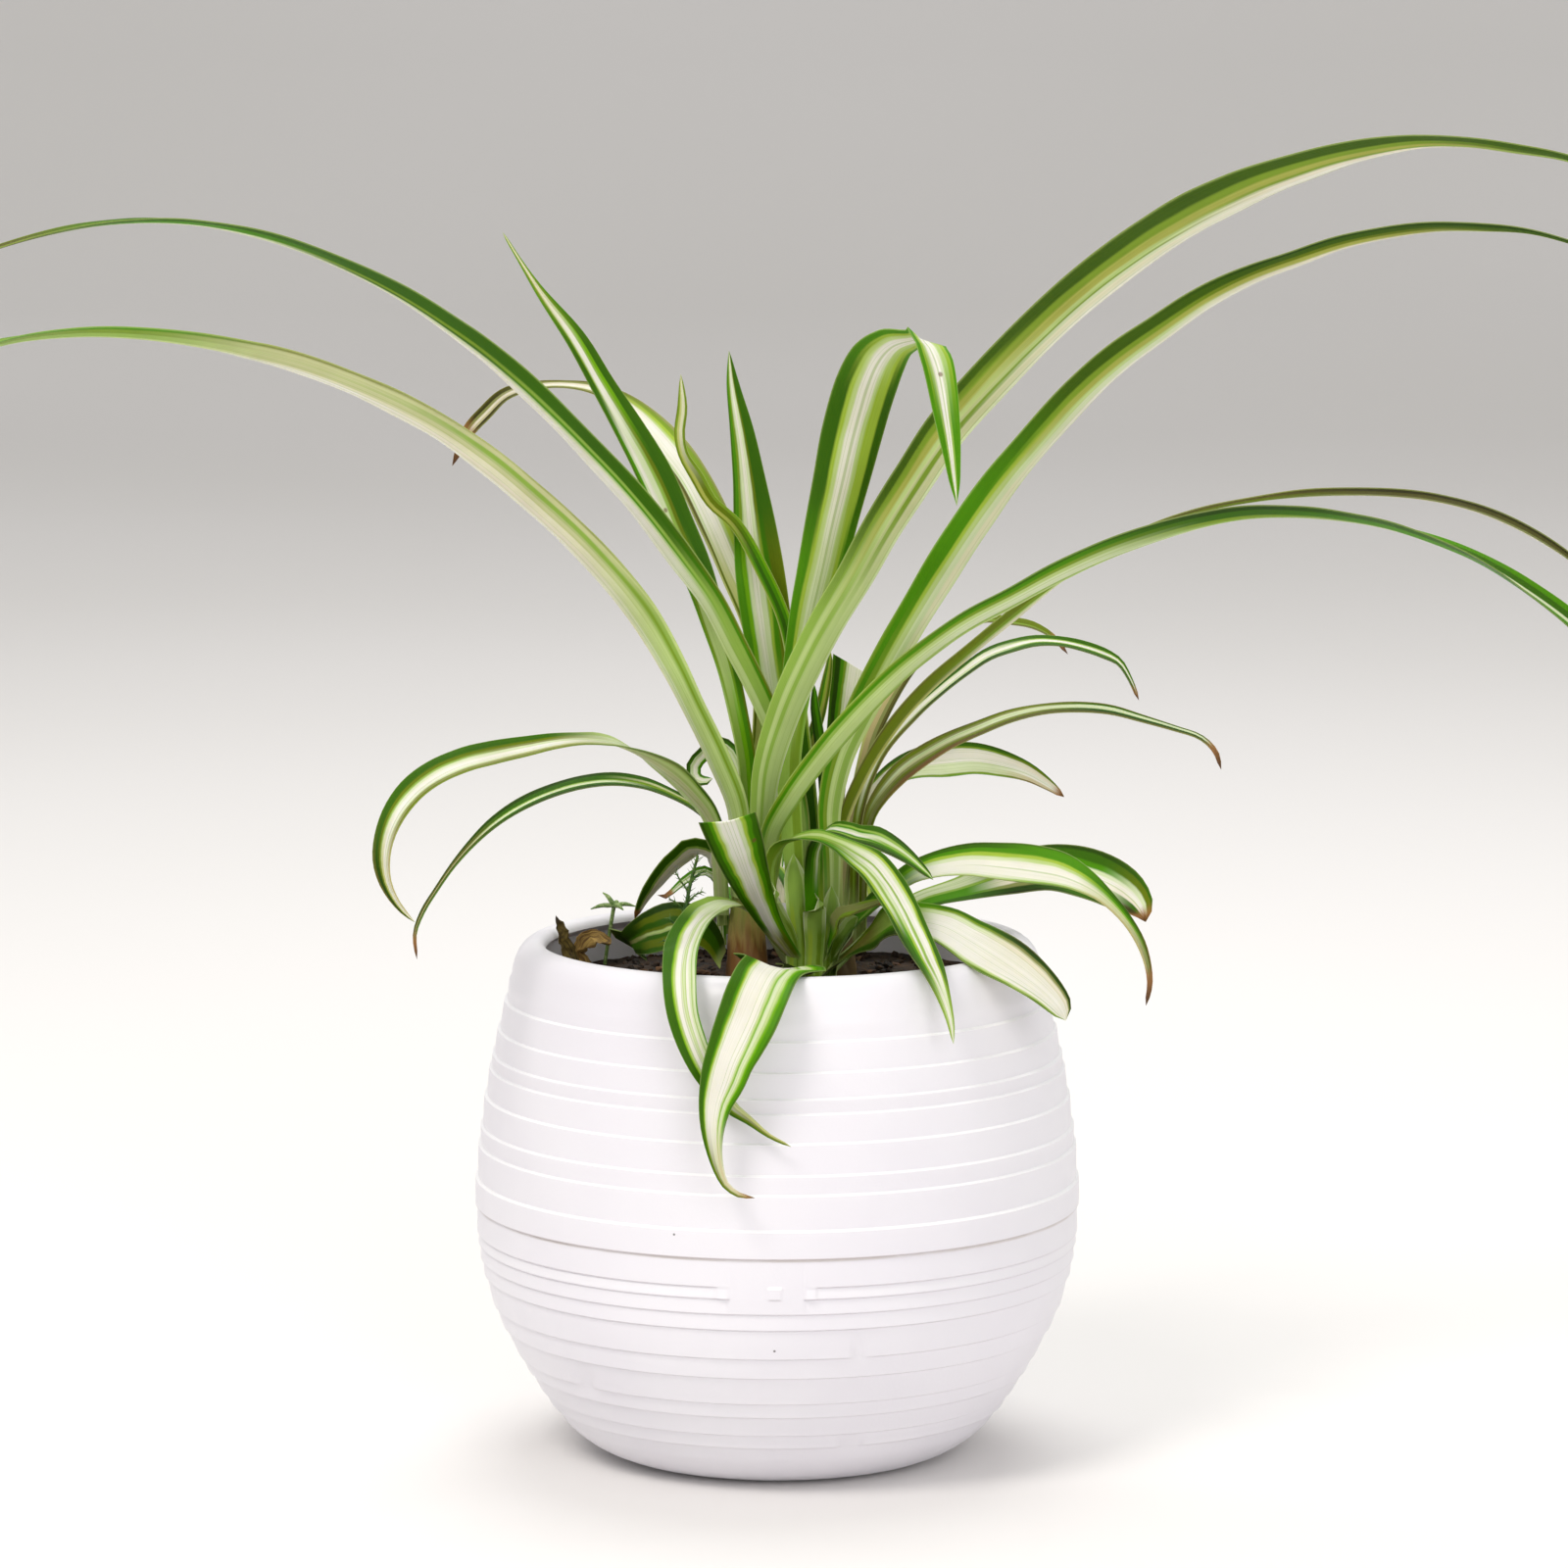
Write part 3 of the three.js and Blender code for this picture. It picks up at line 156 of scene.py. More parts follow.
class Nodes:
    """A material's node tree, with one call for each new node and its links."""

    def __init__(self, name):
        self.material = bpy.data.materials.new(name)
        self.material.use_nodes = True
        self.tree = self.material.node_tree
        self.shader = self.tree.nodes["Principled BSDF"]

    def add(self, kind, settings=None, **inputs):
        node = self.tree.nodes.new(kind)
        for key, value in (settings or {}).items():
            setattr(node, key, value)
        for key, value in inputs.items():
            socket = node.inputs[int(key[1:])] if key[0] == "i" else node.inputs[key]
            self.put(value, socket)
        return node

    def put(self, value, socket):
        if isinstance(value, bpy.types.NodeSocket):
            self.tree.links.new(value, socket)
        else:
            socket.default_value = value

    def math(self, operation, a, b=0.0):
        return self.add("ShaderNodeMath", {"operation": operation}, i0=a, i1=b).outputs[0]

    def off(self, value, middle):
        """How far a value is from a middle, either way."""
        return self.math("ABSOLUTE", self.math("SUBTRACT", value, middle))

    def span(self, value, low, high, to_low=0.0, to_high=1.0):
        """Value mapped from low..high to to_low..to_high, and held at the ends."""
        return self.add("ShaderNodeMapRange", {"interpolation_type": "SMOOTHSTEP"},
                        i0=value, i1=low, i2=high, i3=to_low, i4=to_high).outputs[0]

    def mix(self, factor, a, b, blend="MIX"):
        node = self.add("ShaderNodeMix", {"data_type": "RGBA", "blend_type": blend})
        for value, socket in ((factor, 0), (a, 6), (b, 7)):
            self.put(value, node.inputs[socket])
        return node.outputs[2]

    def ramp(self, value, stops):
        node = self.add("ShaderNodeValToRGB", i0=value)
        points = node.color_ramp.elements
        while len(points) < len(stops):
            points.new(0.5)
        for point, (place, word) in zip(points, stops):
            point.position = place
            point.color = color(word)
        return node.outputs[0]

    def noise(self, vector, scale, detail=2.0, roughness=0.5):
        return self.add("ShaderNodeTexNoise", None, Vector=vector, Scale=scale, Detail=detail,
                        Roughness=roughness).outputs[0]

    def specks(self, vector, scale, reach, picked):
        """Scattered dots: reach fades one out, picked chooses the cells that have one."""
        cells = self.add("ShaderNodeTexVoronoi", None, Vector=vector, Scale=scale)
        pick = self.add("ShaderNodeSeparateColor", None, Color=cells.outputs["Color"]).outputs[0]
        return self.math("MULTIPLY", self.span(cells.outputs["Distance"], *reach),
                         self.span(pick, *picked))

    def stretch(self, vector, scale):
        return self.add("ShaderNodeMapping", None, Vector=vector, Scale=scale).outputs[0]

    def bump(self, height, strength, distance):
        node = self.add("ShaderNodeBump", None, Strength=strength, Distance=distance,
                        Height=height)
        self.tree.links.new(node.outputs[0], self.shader.inputs["Normal"])

    def surface(self, **sockets):
        for key, value in sockets.items():
            self.put(value, self.shader.inputs[key.replace("_", " ")])
        return self.material


def object_place(nodes):
    return nodes.add("ShaderNodeTexCoord").outputs["Object"]


# %% [markdown]
# ## The pot
#
# The real pot is one injection-moulded shell. Its rings are tiny steps, less than half a
# millimetre deep: above the widest ring they face up and catch the light as bright lines,
# below it they face down and read as dark lines. A displacement map would blur such crisp
# steps, so the profile itself holds them and is spun round the axis. The steps are worked
# out as a saw-tooth on top of the smooth outline.

# %% Pot profile
POT_OUTLINE = [
    (0, 32), (1.2, 37), (3.5, 41.6), (7, 45.8), (10.8, 49), (14, 51.2), (18.5, 54.1),
    (21.8, 56), (28, 59.3), (32.5, 61.2), (39, 63.2), (45.8, 64.4), (54.3, 65),
    (60.2, 64.9), (67.5, 64.3), (78, 62.9), (87, 61.2), (92.3, 60), (98.5, 58.5), (104, 57.1),
]
LEDGES = (60.2, 67.5, 71.5, 78, 84, 87, 92.3, 98.5)
UNDERCUTS = (10.8, 14, 18.5, 21.8, 28, 32.5, 39, 42.5, 45.8, 48.3, 54.3)
RIM = [(57, 103.5), (56.7, 105.3), (56.2, 107), (55.5, 108.6), (54.6, 109.8), (53.4, 110.7),
       (52, 111), (50.9, 110.9), (50.2, 110.4), (49.7, 109.7), (49.6, 109)]
INSIDE_HEIGHTS = (107, 105, 103, 98, 92.3, 85, 78, 67.5, 54.3, 45, 39, 28, 18.5, 10.8, 7)
STEP_DEPTH = 0.55
STEP_HALF_RISE = 0.17
STEP_SUPPORT = 0.45
POT_WALL = 3
POT_FLOOR = 4
POT_TURN_STEPS = 320
FIRST_STEP, LAST_STEP = 10.8, 98.5
STEP_FADE = 4.0
PLAIN_HEIGHTS = {0.0, 0.5, 1.2, 2.2, 3.5, 5.0, 7.0, 9.0, 101.0, 102.5}
LONGEST_ROW = 1.6
FOOT_FLAT = 20
FLOOR_FLAT = 30


def outline_radius(height):
    """Smooth outer radius, a curve through the outline's points."""
    table = POT_OUTLINE
    last = len(table) - 1
    for i in range(1, len(table)):
        if height <= table[i][0] or i == last:
            break
    (z1, r1), (z2, r2) = table[i - 1], table[i]
    z0, r0 = table[max(i - 2, 0)]
    z3, r3 = table[min(i + 1, last)]
    reach = z2 - z1
    start = (r2 - r0) / (z2 - z0) * reach
    end = (r3 - r1) / (z3 - z1) * reach
    return hermite(r1, r2, start, end, (height - z1) / reach)


def saw(height, steps=LEDGES + UNDERCUTS):
    """How far the wall stands back from the outline between two steps."""
    if not FIRST_STEP - STEP_HALF_RISE < height < LAST_STEP + STEP_HALF_RISE:
        near = min(abs(height - FIRST_STEP), abs(height - LAST_STEP))
        return -STEP_DEPTH * (1 - smoothstep(STEP_HALF_RISE, STEP_FADE, near))
    ordered = sorted(steps)
    for step in ordered:
        if abs(height - step) <= STEP_HALF_RISE:
            share = (height - step) / (2 * STEP_HALF_RISE) + 0.5
            return -STEP_DEPTH * (share if step in LEDGES else 1 - share)
    below = max(step for step in ordered if step < height)
    above = min(step for step in ordered if step > height)
    share = (height - below) / (above - below)
    start = 1.0 if below in LEDGES else 0.0
    end = 0.0 if above in LEDGES else 1.0
    return -STEP_DEPTH * lerp(start, end, share)


def outside_heights():
    heights = set(PLAIN_HEIGHTS)
    for step in LEDGES + UNDERCUTS:
        heights |= {step - STEP_SUPPORT, step - STEP_HALF_RISE,
                    step + STEP_HALF_RISE, step + STEP_SUPPORT}
    ordered = sorted(heights)
    for low, high in zip(ordered[:-1], ordered[1:]):
        parts = int((high - low) / LONGEST_ROW)
        heights |= {low + (high - low) * k / (parts + 1) for k in range(1, parts + 1)}
    return sorted(heights)


def pot_profile():
    outside = [(outline_radius(z) + saw(z), z) for z in outside_heights()]
    inside = [(outline_radius(z) - POT_WALL, z) for z in INSIDE_HEIGHTS]
    floor = [(FLOOR_FLAT, POT_FLOOR), (0, POT_FLOOR)]
    return [(0, 0), (FOOT_FLAT, 0), *outside, *RIM, *inside, *floor]


print("pot profile points:", len(pot_profile()))

# %% [markdown]
# One ring is special. The narrow band between the undercuts at 45.8 and 48.3 mm stops at
# the front, where a small square of the same band stands alone in the gap, and a few other
# rings are broken by a short upright groove. Modelling these with booleans would leave
# ragged edges on such a shallow relief. Instead the spun wall has more columns at the front
# than at the back, and the wall is pushed to another depth wherever a ring is missing.
# Each vertex also notes how far its wall tilts from the smooth outline, for the painted
# highlight on the ledges and the painted shade in the undercuts.

# %% Relief of the front
FRONT = -math.pi / 2
FRONT_CROWDING = 0.78
BAND_FOOT, BAND_TOP = 42.5, 54.3
BAND_LOW, BAND_HIGH = 45.8, 48.3
BAND_ENDS = (-10.0, 5.7)
SQUARE_ENDS = (-1.9, 0.9)
PAD_LENGTH = 2.4
PAD_HEIGHT = 0.36
END_SOFTNESS = 0.35
TIES = ((32.5, 39.0, 17.0, 1.5), (21.8, 28.0, -40.3, 2.0), (10.8, 14.0, 15.2, 2.4))
TIE_SIDE_SOFTNESS, TIE_END_SOFTNESS = 0.5, 0.2
OUTLINE_TOP = POT_OUTLINE[-1][0]
SKIN = 1.0


def front_angle(angle):
    """Turns even steps round the axis into steps that crowd together at the front."""
    from_front = math.remainder(angle - FRONT, 2 * math.pi)
    return FRONT + from_front - FRONT_CROWDING * math.sin(from_front)


def between(value, low, high, softness):
    return smoothstep(low - softness, low + softness, value) * (
        1 - smoothstep(high - softness, high + softness, value))


def front_depth(x, z):
    """How far the front wall stands back from the outline, breaks in the rings included."""
    rings = saw(z)
    share = min(max((z - BAND_FOOT) / (BAND_TOP - BAND_FOOT), 0.0), 1.0)
    gap = between(x, *BAND_ENDS, END_SOFTNESS)
    gap *= between(z, BAND_FOOT + STEP_SUPPORT, BAND_TOP - STEP_SUPPORT, STEP_HALF_RISE)
    depth = lerp(rings, -STEP_DEPTH * share, gap)
    pads = (SQUARE_ENDS, (BAND_ENDS[0] - PAD_LENGTH, BAND_ENDS[0]),
            (BAND_ENDS[1], BAND_ENDS[1] + PAD_LENGTH))
    on_pad = max(between(x, *ends, END_SOFTNESS) for ends in pads)
    depth += PAD_HEIGHT * on_pad * between(z, BAND_LOW, BAND_HIGH, STEP_HALF_RISE)
    for low, high, middle, half in TIES:
        tie = between(x, middle - half, middle + half, TIE_SIDE_SOFTNESS)
        tie *= between(z, low, high, TIE_END_SOFTNESS)
        depth = lerp(depth, -STEP_DEPTH, tie)
    return depth


def wall_tilt(z):
    """Upward part of the smooth wall's outward direction at a height."""
    slope = outline_radius(z + 0.5) - outline_radius(z - 0.5)
    return -slope / math.hypot(1, slope)


def turn_pot():
    bm = lathe(pot_profile(), POT_TURN_STEPS, MM)
    tilt = bm.verts.layers.float.new("tilt")
    wall = []
    for vert in bm.verts:
        radius = math.hypot(vert.co.x, vert.co.y)
        if radius < 1e-5:
            continue
        angle = front_angle(math.atan2(vert.co.y, vert.co.x))
        z = vert.co.z / MM
        x = radius / MM * math.cos(angle)
        outer = radius / MM > outline_radius(min(z, OUTLINE_TOP)) - SKIN
        if outer and FIRST_STEP - SKIN < z < LAST_STEP + SKIN:
            wall.append((vert, z))
        if outer and math.sin(angle) < 0 and FIRST_STEP - SKIN < z < BAND_TOP:
            radius += (front_depth(x, z) - saw(z)) * MM
        vert.co.x, vert.co.y = radius * math.cos(angle), radius * math.sin(angle)
    bmesh.ops.recalc_face_normals(bm, faces=bm.faces)
    bm.normal_update()
    for vert, z in wall:
        vert[tilt] = vert.normal.z - wall_tilt(z)
    return bm


# %% [markdown]
# ### White plastic
#
# Moulded polypropylene is satin, not glossy: light sinks in a little and the highlight is
# wide. A faint orange-peel bump keeps it from looking like paint. Where the wall tilts up
# at the top of each ledge it is painted paler, a painted highlight, and where it tilts
# down in each undercut it is painted greyer, a painted shade. The wear does the rest: grey
# dirt sits in the groove at the widest ring, and there are a few specks.

# %% Pot material
GROOVE_HEIGHT = 0.0541
GROOVE_HALF = 0.00055


def plastic_material():
    nodes = Nodes("satin_white_plastic")
    place = object_place(nodes)
    height = nodes.add("ShaderNodeSeparateXYZ", None, Vector=place).outputs[2]
    in_groove = nodes.span(nodes.off(height, GROOVE_HEIGHT), GROOVE_HALF, GROOVE_HALF * 0.3)
    patches = nodes.span(nodes.noise(place, 55.0, 3.0), 0.34, 0.62, 0.12, 0.55)
    dirt = nodes.math("MULTIPLY", in_groove, patches)
    specks = nodes.specks(place, 95.0, (0.035, 0.02), (0.93, 0.94))
    cloud = nodes.noise(place, 18.0, 3.0)
    body = nodes.mix(nodes.span(cloud, 0.35, 0.7, 0.0, 0.6), color("#e8e6ec"), color("#e1dee6"))
    tilt = nodes.add("ShaderNodeAttribute", {"attribute_name": "tilt"}).outputs["Fac"]
    # Painted highlight: where the wall tilts up, at the top of each ledge, it is painted paler.
    body = nodes.mix(nodes.span(tilt, 0.1, 0.5, 0.0, 0.9), body, color("#fbfbfd"))
    # Painted shade: where the wall tilts down, in each undercut, it is painted greyer.
    body = nodes.mix(nodes.span(tilt, -0.1, -0.5, 0.0, 0.45), body, color("#b3aab0"))
    dirty = nodes.mix(dirt, body, color("#b9aea6"))
    speckled = nodes.mix(nodes.math("MULTIPLY", specks, 0.8), dirty, color("#3a332e"))
    roughness = nodes.span(nodes.noise(place, 160.0, 2.0), 0.3, 0.7, 0.36, 0.46)
    nodes.bump(nodes.noise(place, 1400.0, 2.0), 0.12, 0.0002)
    return nodes.surface(Base_Color=speckled, Roughness=roughness, IOR=1.46,
                         Subsurface_Weight=0.1, Subsurface_Scale=0.003,
                         Subsurface_Radius=(1.0, 0.9, 0.9))


PLASTIC = plastic_material()
pot = finish_piece(turn_pot(), "pot_shell", PLASTIC, ["pot"], sharp=38)
print("pot faces:", len(pot.data.polygons))

# %% [markdown]
# ## The leaves
#
# A spider plant's leaf is a long strap with a shallow keel. In life it is barely half a
# millimetre thick, so its outline, its twist and its stripes are all that one sees. A curve
# with a bevel object would do for grass, but here each blade must lie exactly where its
# solid lies, turn over where the real one does, and carry stripes along its length. So a
# flat grid is made for each blade, and every vertex is moved from its place on the grid,
# across and along, to its place in the air.
#
# The table below repeats the stations of the solids: [x, z, y, width], in millimetres,
# with x and z read on the upright plane through the pot's axis, y the depth, and the width
# as it is seen from the camera. "face" is the way the upper side looks, from base to tip,
# and "fold" the depth of the keel. "waves" and "sway" ripple a margin, and "cut" is the
# slant of a trimmed end. The leaves behind the others carry true widths instead.

# %% Leaf table
LEAVES = {
    "leaf_long_left_low": {
        "fold": 0.3,
        "face": [[0.5, 0.85, 0.1], [0.3, 0.75, 0.6], [0, -0.25, 1]],
        "path": [
            [-8.2, 120, 10.8, 3.6], [-7.8, 131, 8.1, 4.2], [-8.7, 140, 5.6, 4.6],
            [-12.6, 150, 3, 5], [-17.3, 160, 0, 5], [-22.2, 170, -4, 5.5], [-29.7, 182.4, -8, 6.4],
            [-39.7, 194.3, -15, 6.2], [-49.5, 203.6, -21, 6.1], [-59.7, 212.4, -28, 6],
            [-70, 219.9, -34, 5.6], [-80, 225.6, -40, 5.2], [-90, 230.2, -46, 4.8],
            [-100, 234, -52, 4.3], [-110, 236.7, -57, 4], [-120, 238.8, -62, 3.8],
            [-135, 240.9, -69, 4], [-150, 241.3, -75, 4.2], [-165, 239.2, -80, 3.7],
            [-180, 233, -84, 3.3], [-194, 223, -87, 2.2], [-204, 213, -89, 0.8],
        ],
    },
    "leaf_long_left_high": {
        "fold": 0.35,
        "face": [[0.4, 0.9, 0.1], [0.45, 0.5, 0.75], [0, -0.35, 0.95]],
        "path": [
            [4.5, 121, 13.2, 3.4], [5, 136, 12.4, 3.8], [2, 150, 12, 4.2], [-2.7, 161.5, 11, 4.6],
            [-8.8, 174, 9.6, 5], [-14, 184, 8.6, 5.3], [-20, 192.5, 8, 5.7], [-30, 205.5, 7.4, 5.5],
            [-40, 216.4, 7, 5.3], [-50, 226.5, 6.6, 5], [-60, 235.6, 6, 4.4],
            [-70, 243.2, 5.4, 4.3], [-80, 249.7, 5, 3.9], [-90, 254.9, 4.6, 3.6],
            [-100, 259.1, 4, 3.4], [-110, 262.2, 3.6, 3.1], [-120, 264.2, 3, 2.7],
            [-130, 264.9, 2.6, 2.3], [-140, 264.5, 2, 1.9], [-150, 263, 1.6, 1.6],
            [-165, 258.9, 1, 1], [-186, 250.5, 0, 0.7],
        ],
    },
    "leaf_upright_left": {
        "fold": 0.35,
        "face": [[0.3, -0.9, 0.2], [0.45, -0.85, 0.3], [0.5, -0.8, 0.4]],
        "path": [
            [-5.7, 124.4, 13.9, 3], [-6, 139.1, 14, 3.4], [-6.6, 150, 14.6, 3.9],
            [-8.2, 159, 15.4, 4.1], [-10.7, 170, 16.4, 4.6], [-13.7, 180, 17.2, 5.6],
            [-17, 190, 18, 6.7], [-21.4, 200, 18.8, 7.4], [-25.7, 210, 19, 7.5],
            [-31.1, 220, 19, 6.4], [-37.1, 230, 19, 5.1], [-43, 240, 18.6, 4.2],
            [-50.5, 250, 18, 1.9], [-55, 257, 17.4, 0.8], [-58, 262, 17, 0.6],
        ],
    },
    "leaf_arching_back_left": {
        "fold": 0.3,
        "face": [[0.3, -0.8, 0.5], [0.2, -0.55, 0.8], [-0.6, -0.75, 0.3]],
        "path": [
            [-6.1, 122, 18.4, 3.2], [-5, 140, 22.4, 4], [-2.8, 156, 25.5, 5], [-2.4, 168, 28, 6],
            [-4.5, 180, 31, 6.8], [-8.7, 190, 35, 7], [-13, 200, 39, 7.2], [-18, 210, 45, 7],
            [-24, 218, 52, 7], [-31, 225, 60, 4.6], [-38, 228.8, 67, 2.6], [-45, 229.9, 74, 1.6],
            [-51, 229.6, 79, 1.9], [-57.5, 227.8, 84, 2.6], [-62, 223.8, 88, 3],
            [-65.8, 219.5, 91, 2.7], [-69, 212.5, 93, 0.8],
        ],
    },
    "leaf_small_twisted": {
        "fold": 0.3,
        "face": [[-0.2, -0.95, 0.2], [-0.3, -0.9, 0.3], [-0.6, -0.7, 0.3]],
        "path": [
            [8, 122, 13, 2.6], [7.3, 138, 16, 3], [5.4, 156, 17, 3], [3.6, 170, 17.4, 3],
            [1.4, 180, 17.6, 2.9], [-3, 190, 17.6, 3], [-8.7, 200, 18.4, 2.7], [-14, 205, 19, 2.7],
            [-16.9, 210, 20, 2.8], [-19.9, 215, 21, 2.1], [-20.7, 219.5, 21.6, 2.2],
            [-20.1, 225, 22, 2.1], [-20.4, 232, 22.5, 0.6],
        ],
    },
    "leaf_upright_middle": {
        "fold": 0.25,
        "face": [[0.1, -1, 0.1], [0, -1, 0.15], [0.1, -1, 0.2]],
        "path": [
            [-2.8, 118.9, 17.4, 4], [-0.6, 136, 19.9, 5.6], [0.4, 150, 21, 7],
            [0.2, 160, 21.6, 8.4], [-1, 170, 22, 9.8], [-2.4, 180, 22.6, 10.6],
            [-3.7, 190, 23, 10.5], [-4.8, 200, 24, 9], [-6, 210, 25, 6.9], [-7.5, 220, 26, 5.1],
            [-9.4, 230, 27, 2.7], [-10.2, 237, 27.5, 0.6],
        ],
    },
    "leaf_bent_forward": {
        "fold": 0.25,
        "face": [
            [0.1, 1, 0.1], [0.05, 1, 0.15], [0, 1, 0.2], [-0.05, 1, 0.25], [-0.1, 0.95, 0.3],
            [-0.1, 0.95, 0.4], [0.35, 0.55, 0.75], [0.4, -0.85, 0.35], [0.3, -0.9, 0.3],
        ],
        "path": [
            [4.7, 112.1, 6.2, 3.6], [3.8, 124, 7.6, 4], [3, 136, 8, 4.6], [2.4, 148, 7.6, 5.2],
            [3.4, 160, 6.6, 6], [4.9, 170, 5.6, 7.2], [7, 180, 4, 9], [9.3, 190, 1.6, 10.2],
            [11.4, 200, -1.4, 11], [13.7, 210, -5.4, 12], [16, 220, -10.6, 13],
            [18.8, 229.6, -17.4, 13], [21.6, 235.6, -24, 11.6], [24.8, 238.8, -31, 8],
            [28.6, 239.8, -38, 3.8], [31.4, 239.8, -43, 4], [33.7, 235.4, -46.6, 6.6],
            [36.3, 221, -51, 5], [37.6, 210, -54, 2.6], [38.2, 204, -55, 0.8],
        ],
    },
    "leaf_long_right_top": {
        "fold": 0.3,
        "face": [[-0.5, 0.85, 0.1], [-0.45, 0.6, 0.65], [0, 0.2, 0.98]],
        "path": [
            [-3.4, 123, 11.4, 3.8], [-3.4, 135, 5.1, 4.6], [-2.1, 148, 1, 6], [1.6, 160, -2, 6.8],
            [6, 170, -4, 7.3], [11.2, 180, -6, 7.6], [17.2, 190, -9, 7.9], [22.8, 200, -13, 8.2],
            [29, 210, -17, 8.6], [36, 220.5, -22, 8.9], [44.2, 230, -27, 9], [54.9, 241, -34, 9],
            [65, 250.2, -40, 9], [77.5, 259.8, -47, 9], [89, 266.8, -54, 8.6], [100, 272, -60, 7.7],
            [110, 275.7, -65, 6.8], [121, 278.9, -70, 5.8], [135, 281.2, -76, 4.2],
            [146, 281, -80, 3.2], [156, 279.6, -83, 2.8], [166.5, 277.8, -86, 2.2],
            [180, 273.2, -89, 1.6], [190, 268.6, -91, 0.7],
        ],
    },
    "leaf_long_right_second": {
        "fold": 0.3,
        "face": [[-0.4, 0.9, 0.1], [-0.5, 0.6, 0.6], [0, 0.25, 0.97]],
        "path": [
            [10.1, 109.1, 7, 2.4], [11.5, 118, 7.7, 3.2], [11.6, 128, 9, 4], [11.2, 139, 10, 5],
            [13.4, 150, 9.4, 5.8], [17.8, 160, 8, 6.4], [23, 170, 6, 7], [28.7, 180, 4, 7.2],
            [34.8, 190.2, 2, 7.7], [41.1, 200.1, 0, 7.6], [48.2, 210.1, -1, 7.2],
            [56.1, 219.5, -3, 7], [64.6, 228.9, -5, 6.8], [72.9, 236.2, -6.4, 6.4],
            [80.4, 241.6, -7.6, 5.8], [90, 248, -9, 4.8], [100, 253, -10, 4],
            [110, 256.7, -11, 3.6], [120, 260, -12, 3.2], [130, 262.1, -13, 3],
            [140, 263.2, -13.6, 2.5], [150, 263, -14, 1.9], [160, 262, -14, 1],
            [176, 257.4, -14, 0.7],
        ],
    },
    "leaf_long_right_third": {
        "fold": 0.3,
        "face": [[-0.4, 0.9, 0.2], [-0.35, 0.45, 0.8], [0.3, -0.6, 0.75]],
        "path": [
            [-2.6, 122, 9.9, 3], [-1.4, 134, 0.5, 4.2], [3, 142, -5, 4.6], [8.8, 150, -7, 4.8],
            [14.6, 157, -8.4, 4.8], [21, 163.8, -9, 4.6], [29.8, 171.8, -10, 4.3],
            [39.6, 178.9, -10, 4.2], [50, 184.6, -10, 4.2], [60, 190, -10, 4.2],
            [69.9, 194.6, -10, 4.1], [80, 198.2, -10, 4], [90, 201, -10, 4], [100, 202.7, -10, 3.9],
            [110, 202.9, -9.6, 3.7], [120, 202.1, -9, 3.7], [130, 200.4, -8.6, 3.8],
            [140, 197.3, -8, 4.1], [150, 193, -7, 4], [160, 186.8, -6, 4], [172, 177.4, -5, 3.5],
            [184, 165, -4, 2.4], [192, 153, -3, 0.8],
        ],
    },
    "leaf_long_right_thin": {
        "fold": 0.3,
        "face": [[-0.4, 0.85, 0.3], [-0.3, 0.3, 0.9], [0.3, 0.35, 0.9]],
        "path": [
            [13, 117.7, 15.9, 2], [13.4, 133.6, 14.9, 2.2], [18, 146, 14.4, 2.6],
            [24, 156, 14.2, 2.7], [31, 164.4, 14, 2.6], [40, 172.4, 13.4, 2.5],
            [50, 180.8, 13, 2.5], [60, 188.6, 12, 2.2], [70, 194.8, 11, 1.8], [80, 200, 10, 1.5],
            [90, 203.3, 9, 1.4], [100, 205.3, 8.4, 1.4], [110, 206.6, 8, 1.9],
            [120, 207.1, 7.4, 2.2], [130, 206.9, 7, 2.2], [140, 205.8, 6.4, 2.3],
            [150, 203.2, 5.6, 2.3], [160, 198.7, 5, 2.2], [168, 193.6, 4, 1.6],
            [180, 184.2, 3, 0.7],
        ],
    },
    "leaf_tip_behind_right": {
        "fold": 0.3,
        "face": [[-0.4, -0.6, 0.6], [-0.2, -0.4, 0.9], [0.4, -0.3, 0.8]],
        "path": [
            [14.1, 117.8, 20.5, 2], [16.3, 137.9, 26.7, 2.4], [18.9, 150, 28.4, 3],
            [21.8, 158.6, 31, 3.4], [28.4, 169.6, 35, 2.8], [35.6, 176.4, 38.6, 2.2],
            [43.4, 179.8, 42, 1.8], [50, 179.4, 46, 1.5], [55, 178.4, 49, 1.4],
            [59, 176, 50.5, 1.1], [62, 172.3, 51, 0.6],
        ],
    },
    "leaf_right_mid": {
        "fold": 0.35,
        "face": [[-0.5, -0.6, 0.5], [-0.3, -0.4, 0.85], [0.6, -0.4, 0.6]],
        "path": [
            [16.4, 114, 15.7, 1.8], [17.5, 138, 19.1, 2], [22, 150.6, 21, 2.1],
            [29.5, 159.8, 23, 2.1], [35, 164.9, 25, 2.3], [40, 168.9, 26.6, 2.6],
            [45, 172.3, 28.4, 2.7], [50, 174.1, 30, 2.7], [55, 175.2, 31, 2.4],
            [60, 175.1, 32.4, 2], [65, 174.1, 33.4, 2.1], [70, 172.4, 34.4, 2.1],
            [73, 170.7, 35, 1.5], [75.3, 167, 35.4, 0.9], [77.2, 162.4, 35.6, 0.6],
        ],
    },
    "leaf_right_lower": {
        "fold": 0.35,
        "face": [[-0.5, -0.6, 0.5], [-0.3, -0.4, 0.85], [0.6, -0.4, 0.6]],
        "path": [
            [18, 109, 17.4, 2], [18.4, 126, 20.6, 2.2], [19.6, 137, 23, 2.6], [22, 141.8, 24, 3.4],
            [26, 146.5, 25.2, 4.2], [31, 150.3, 26.6, 4.2], [37, 153.9, 28.4, 3.6],
            [43.5, 156.7, 30, 3.1], [50, 159.1, 31.6, 2.7], [57, 160.6, 33, 2.2],
            [64, 161, 34.4, 2.1], [71, 160.4, 35.6, 1.9], [78, 158.5, 36.8, 1.5],
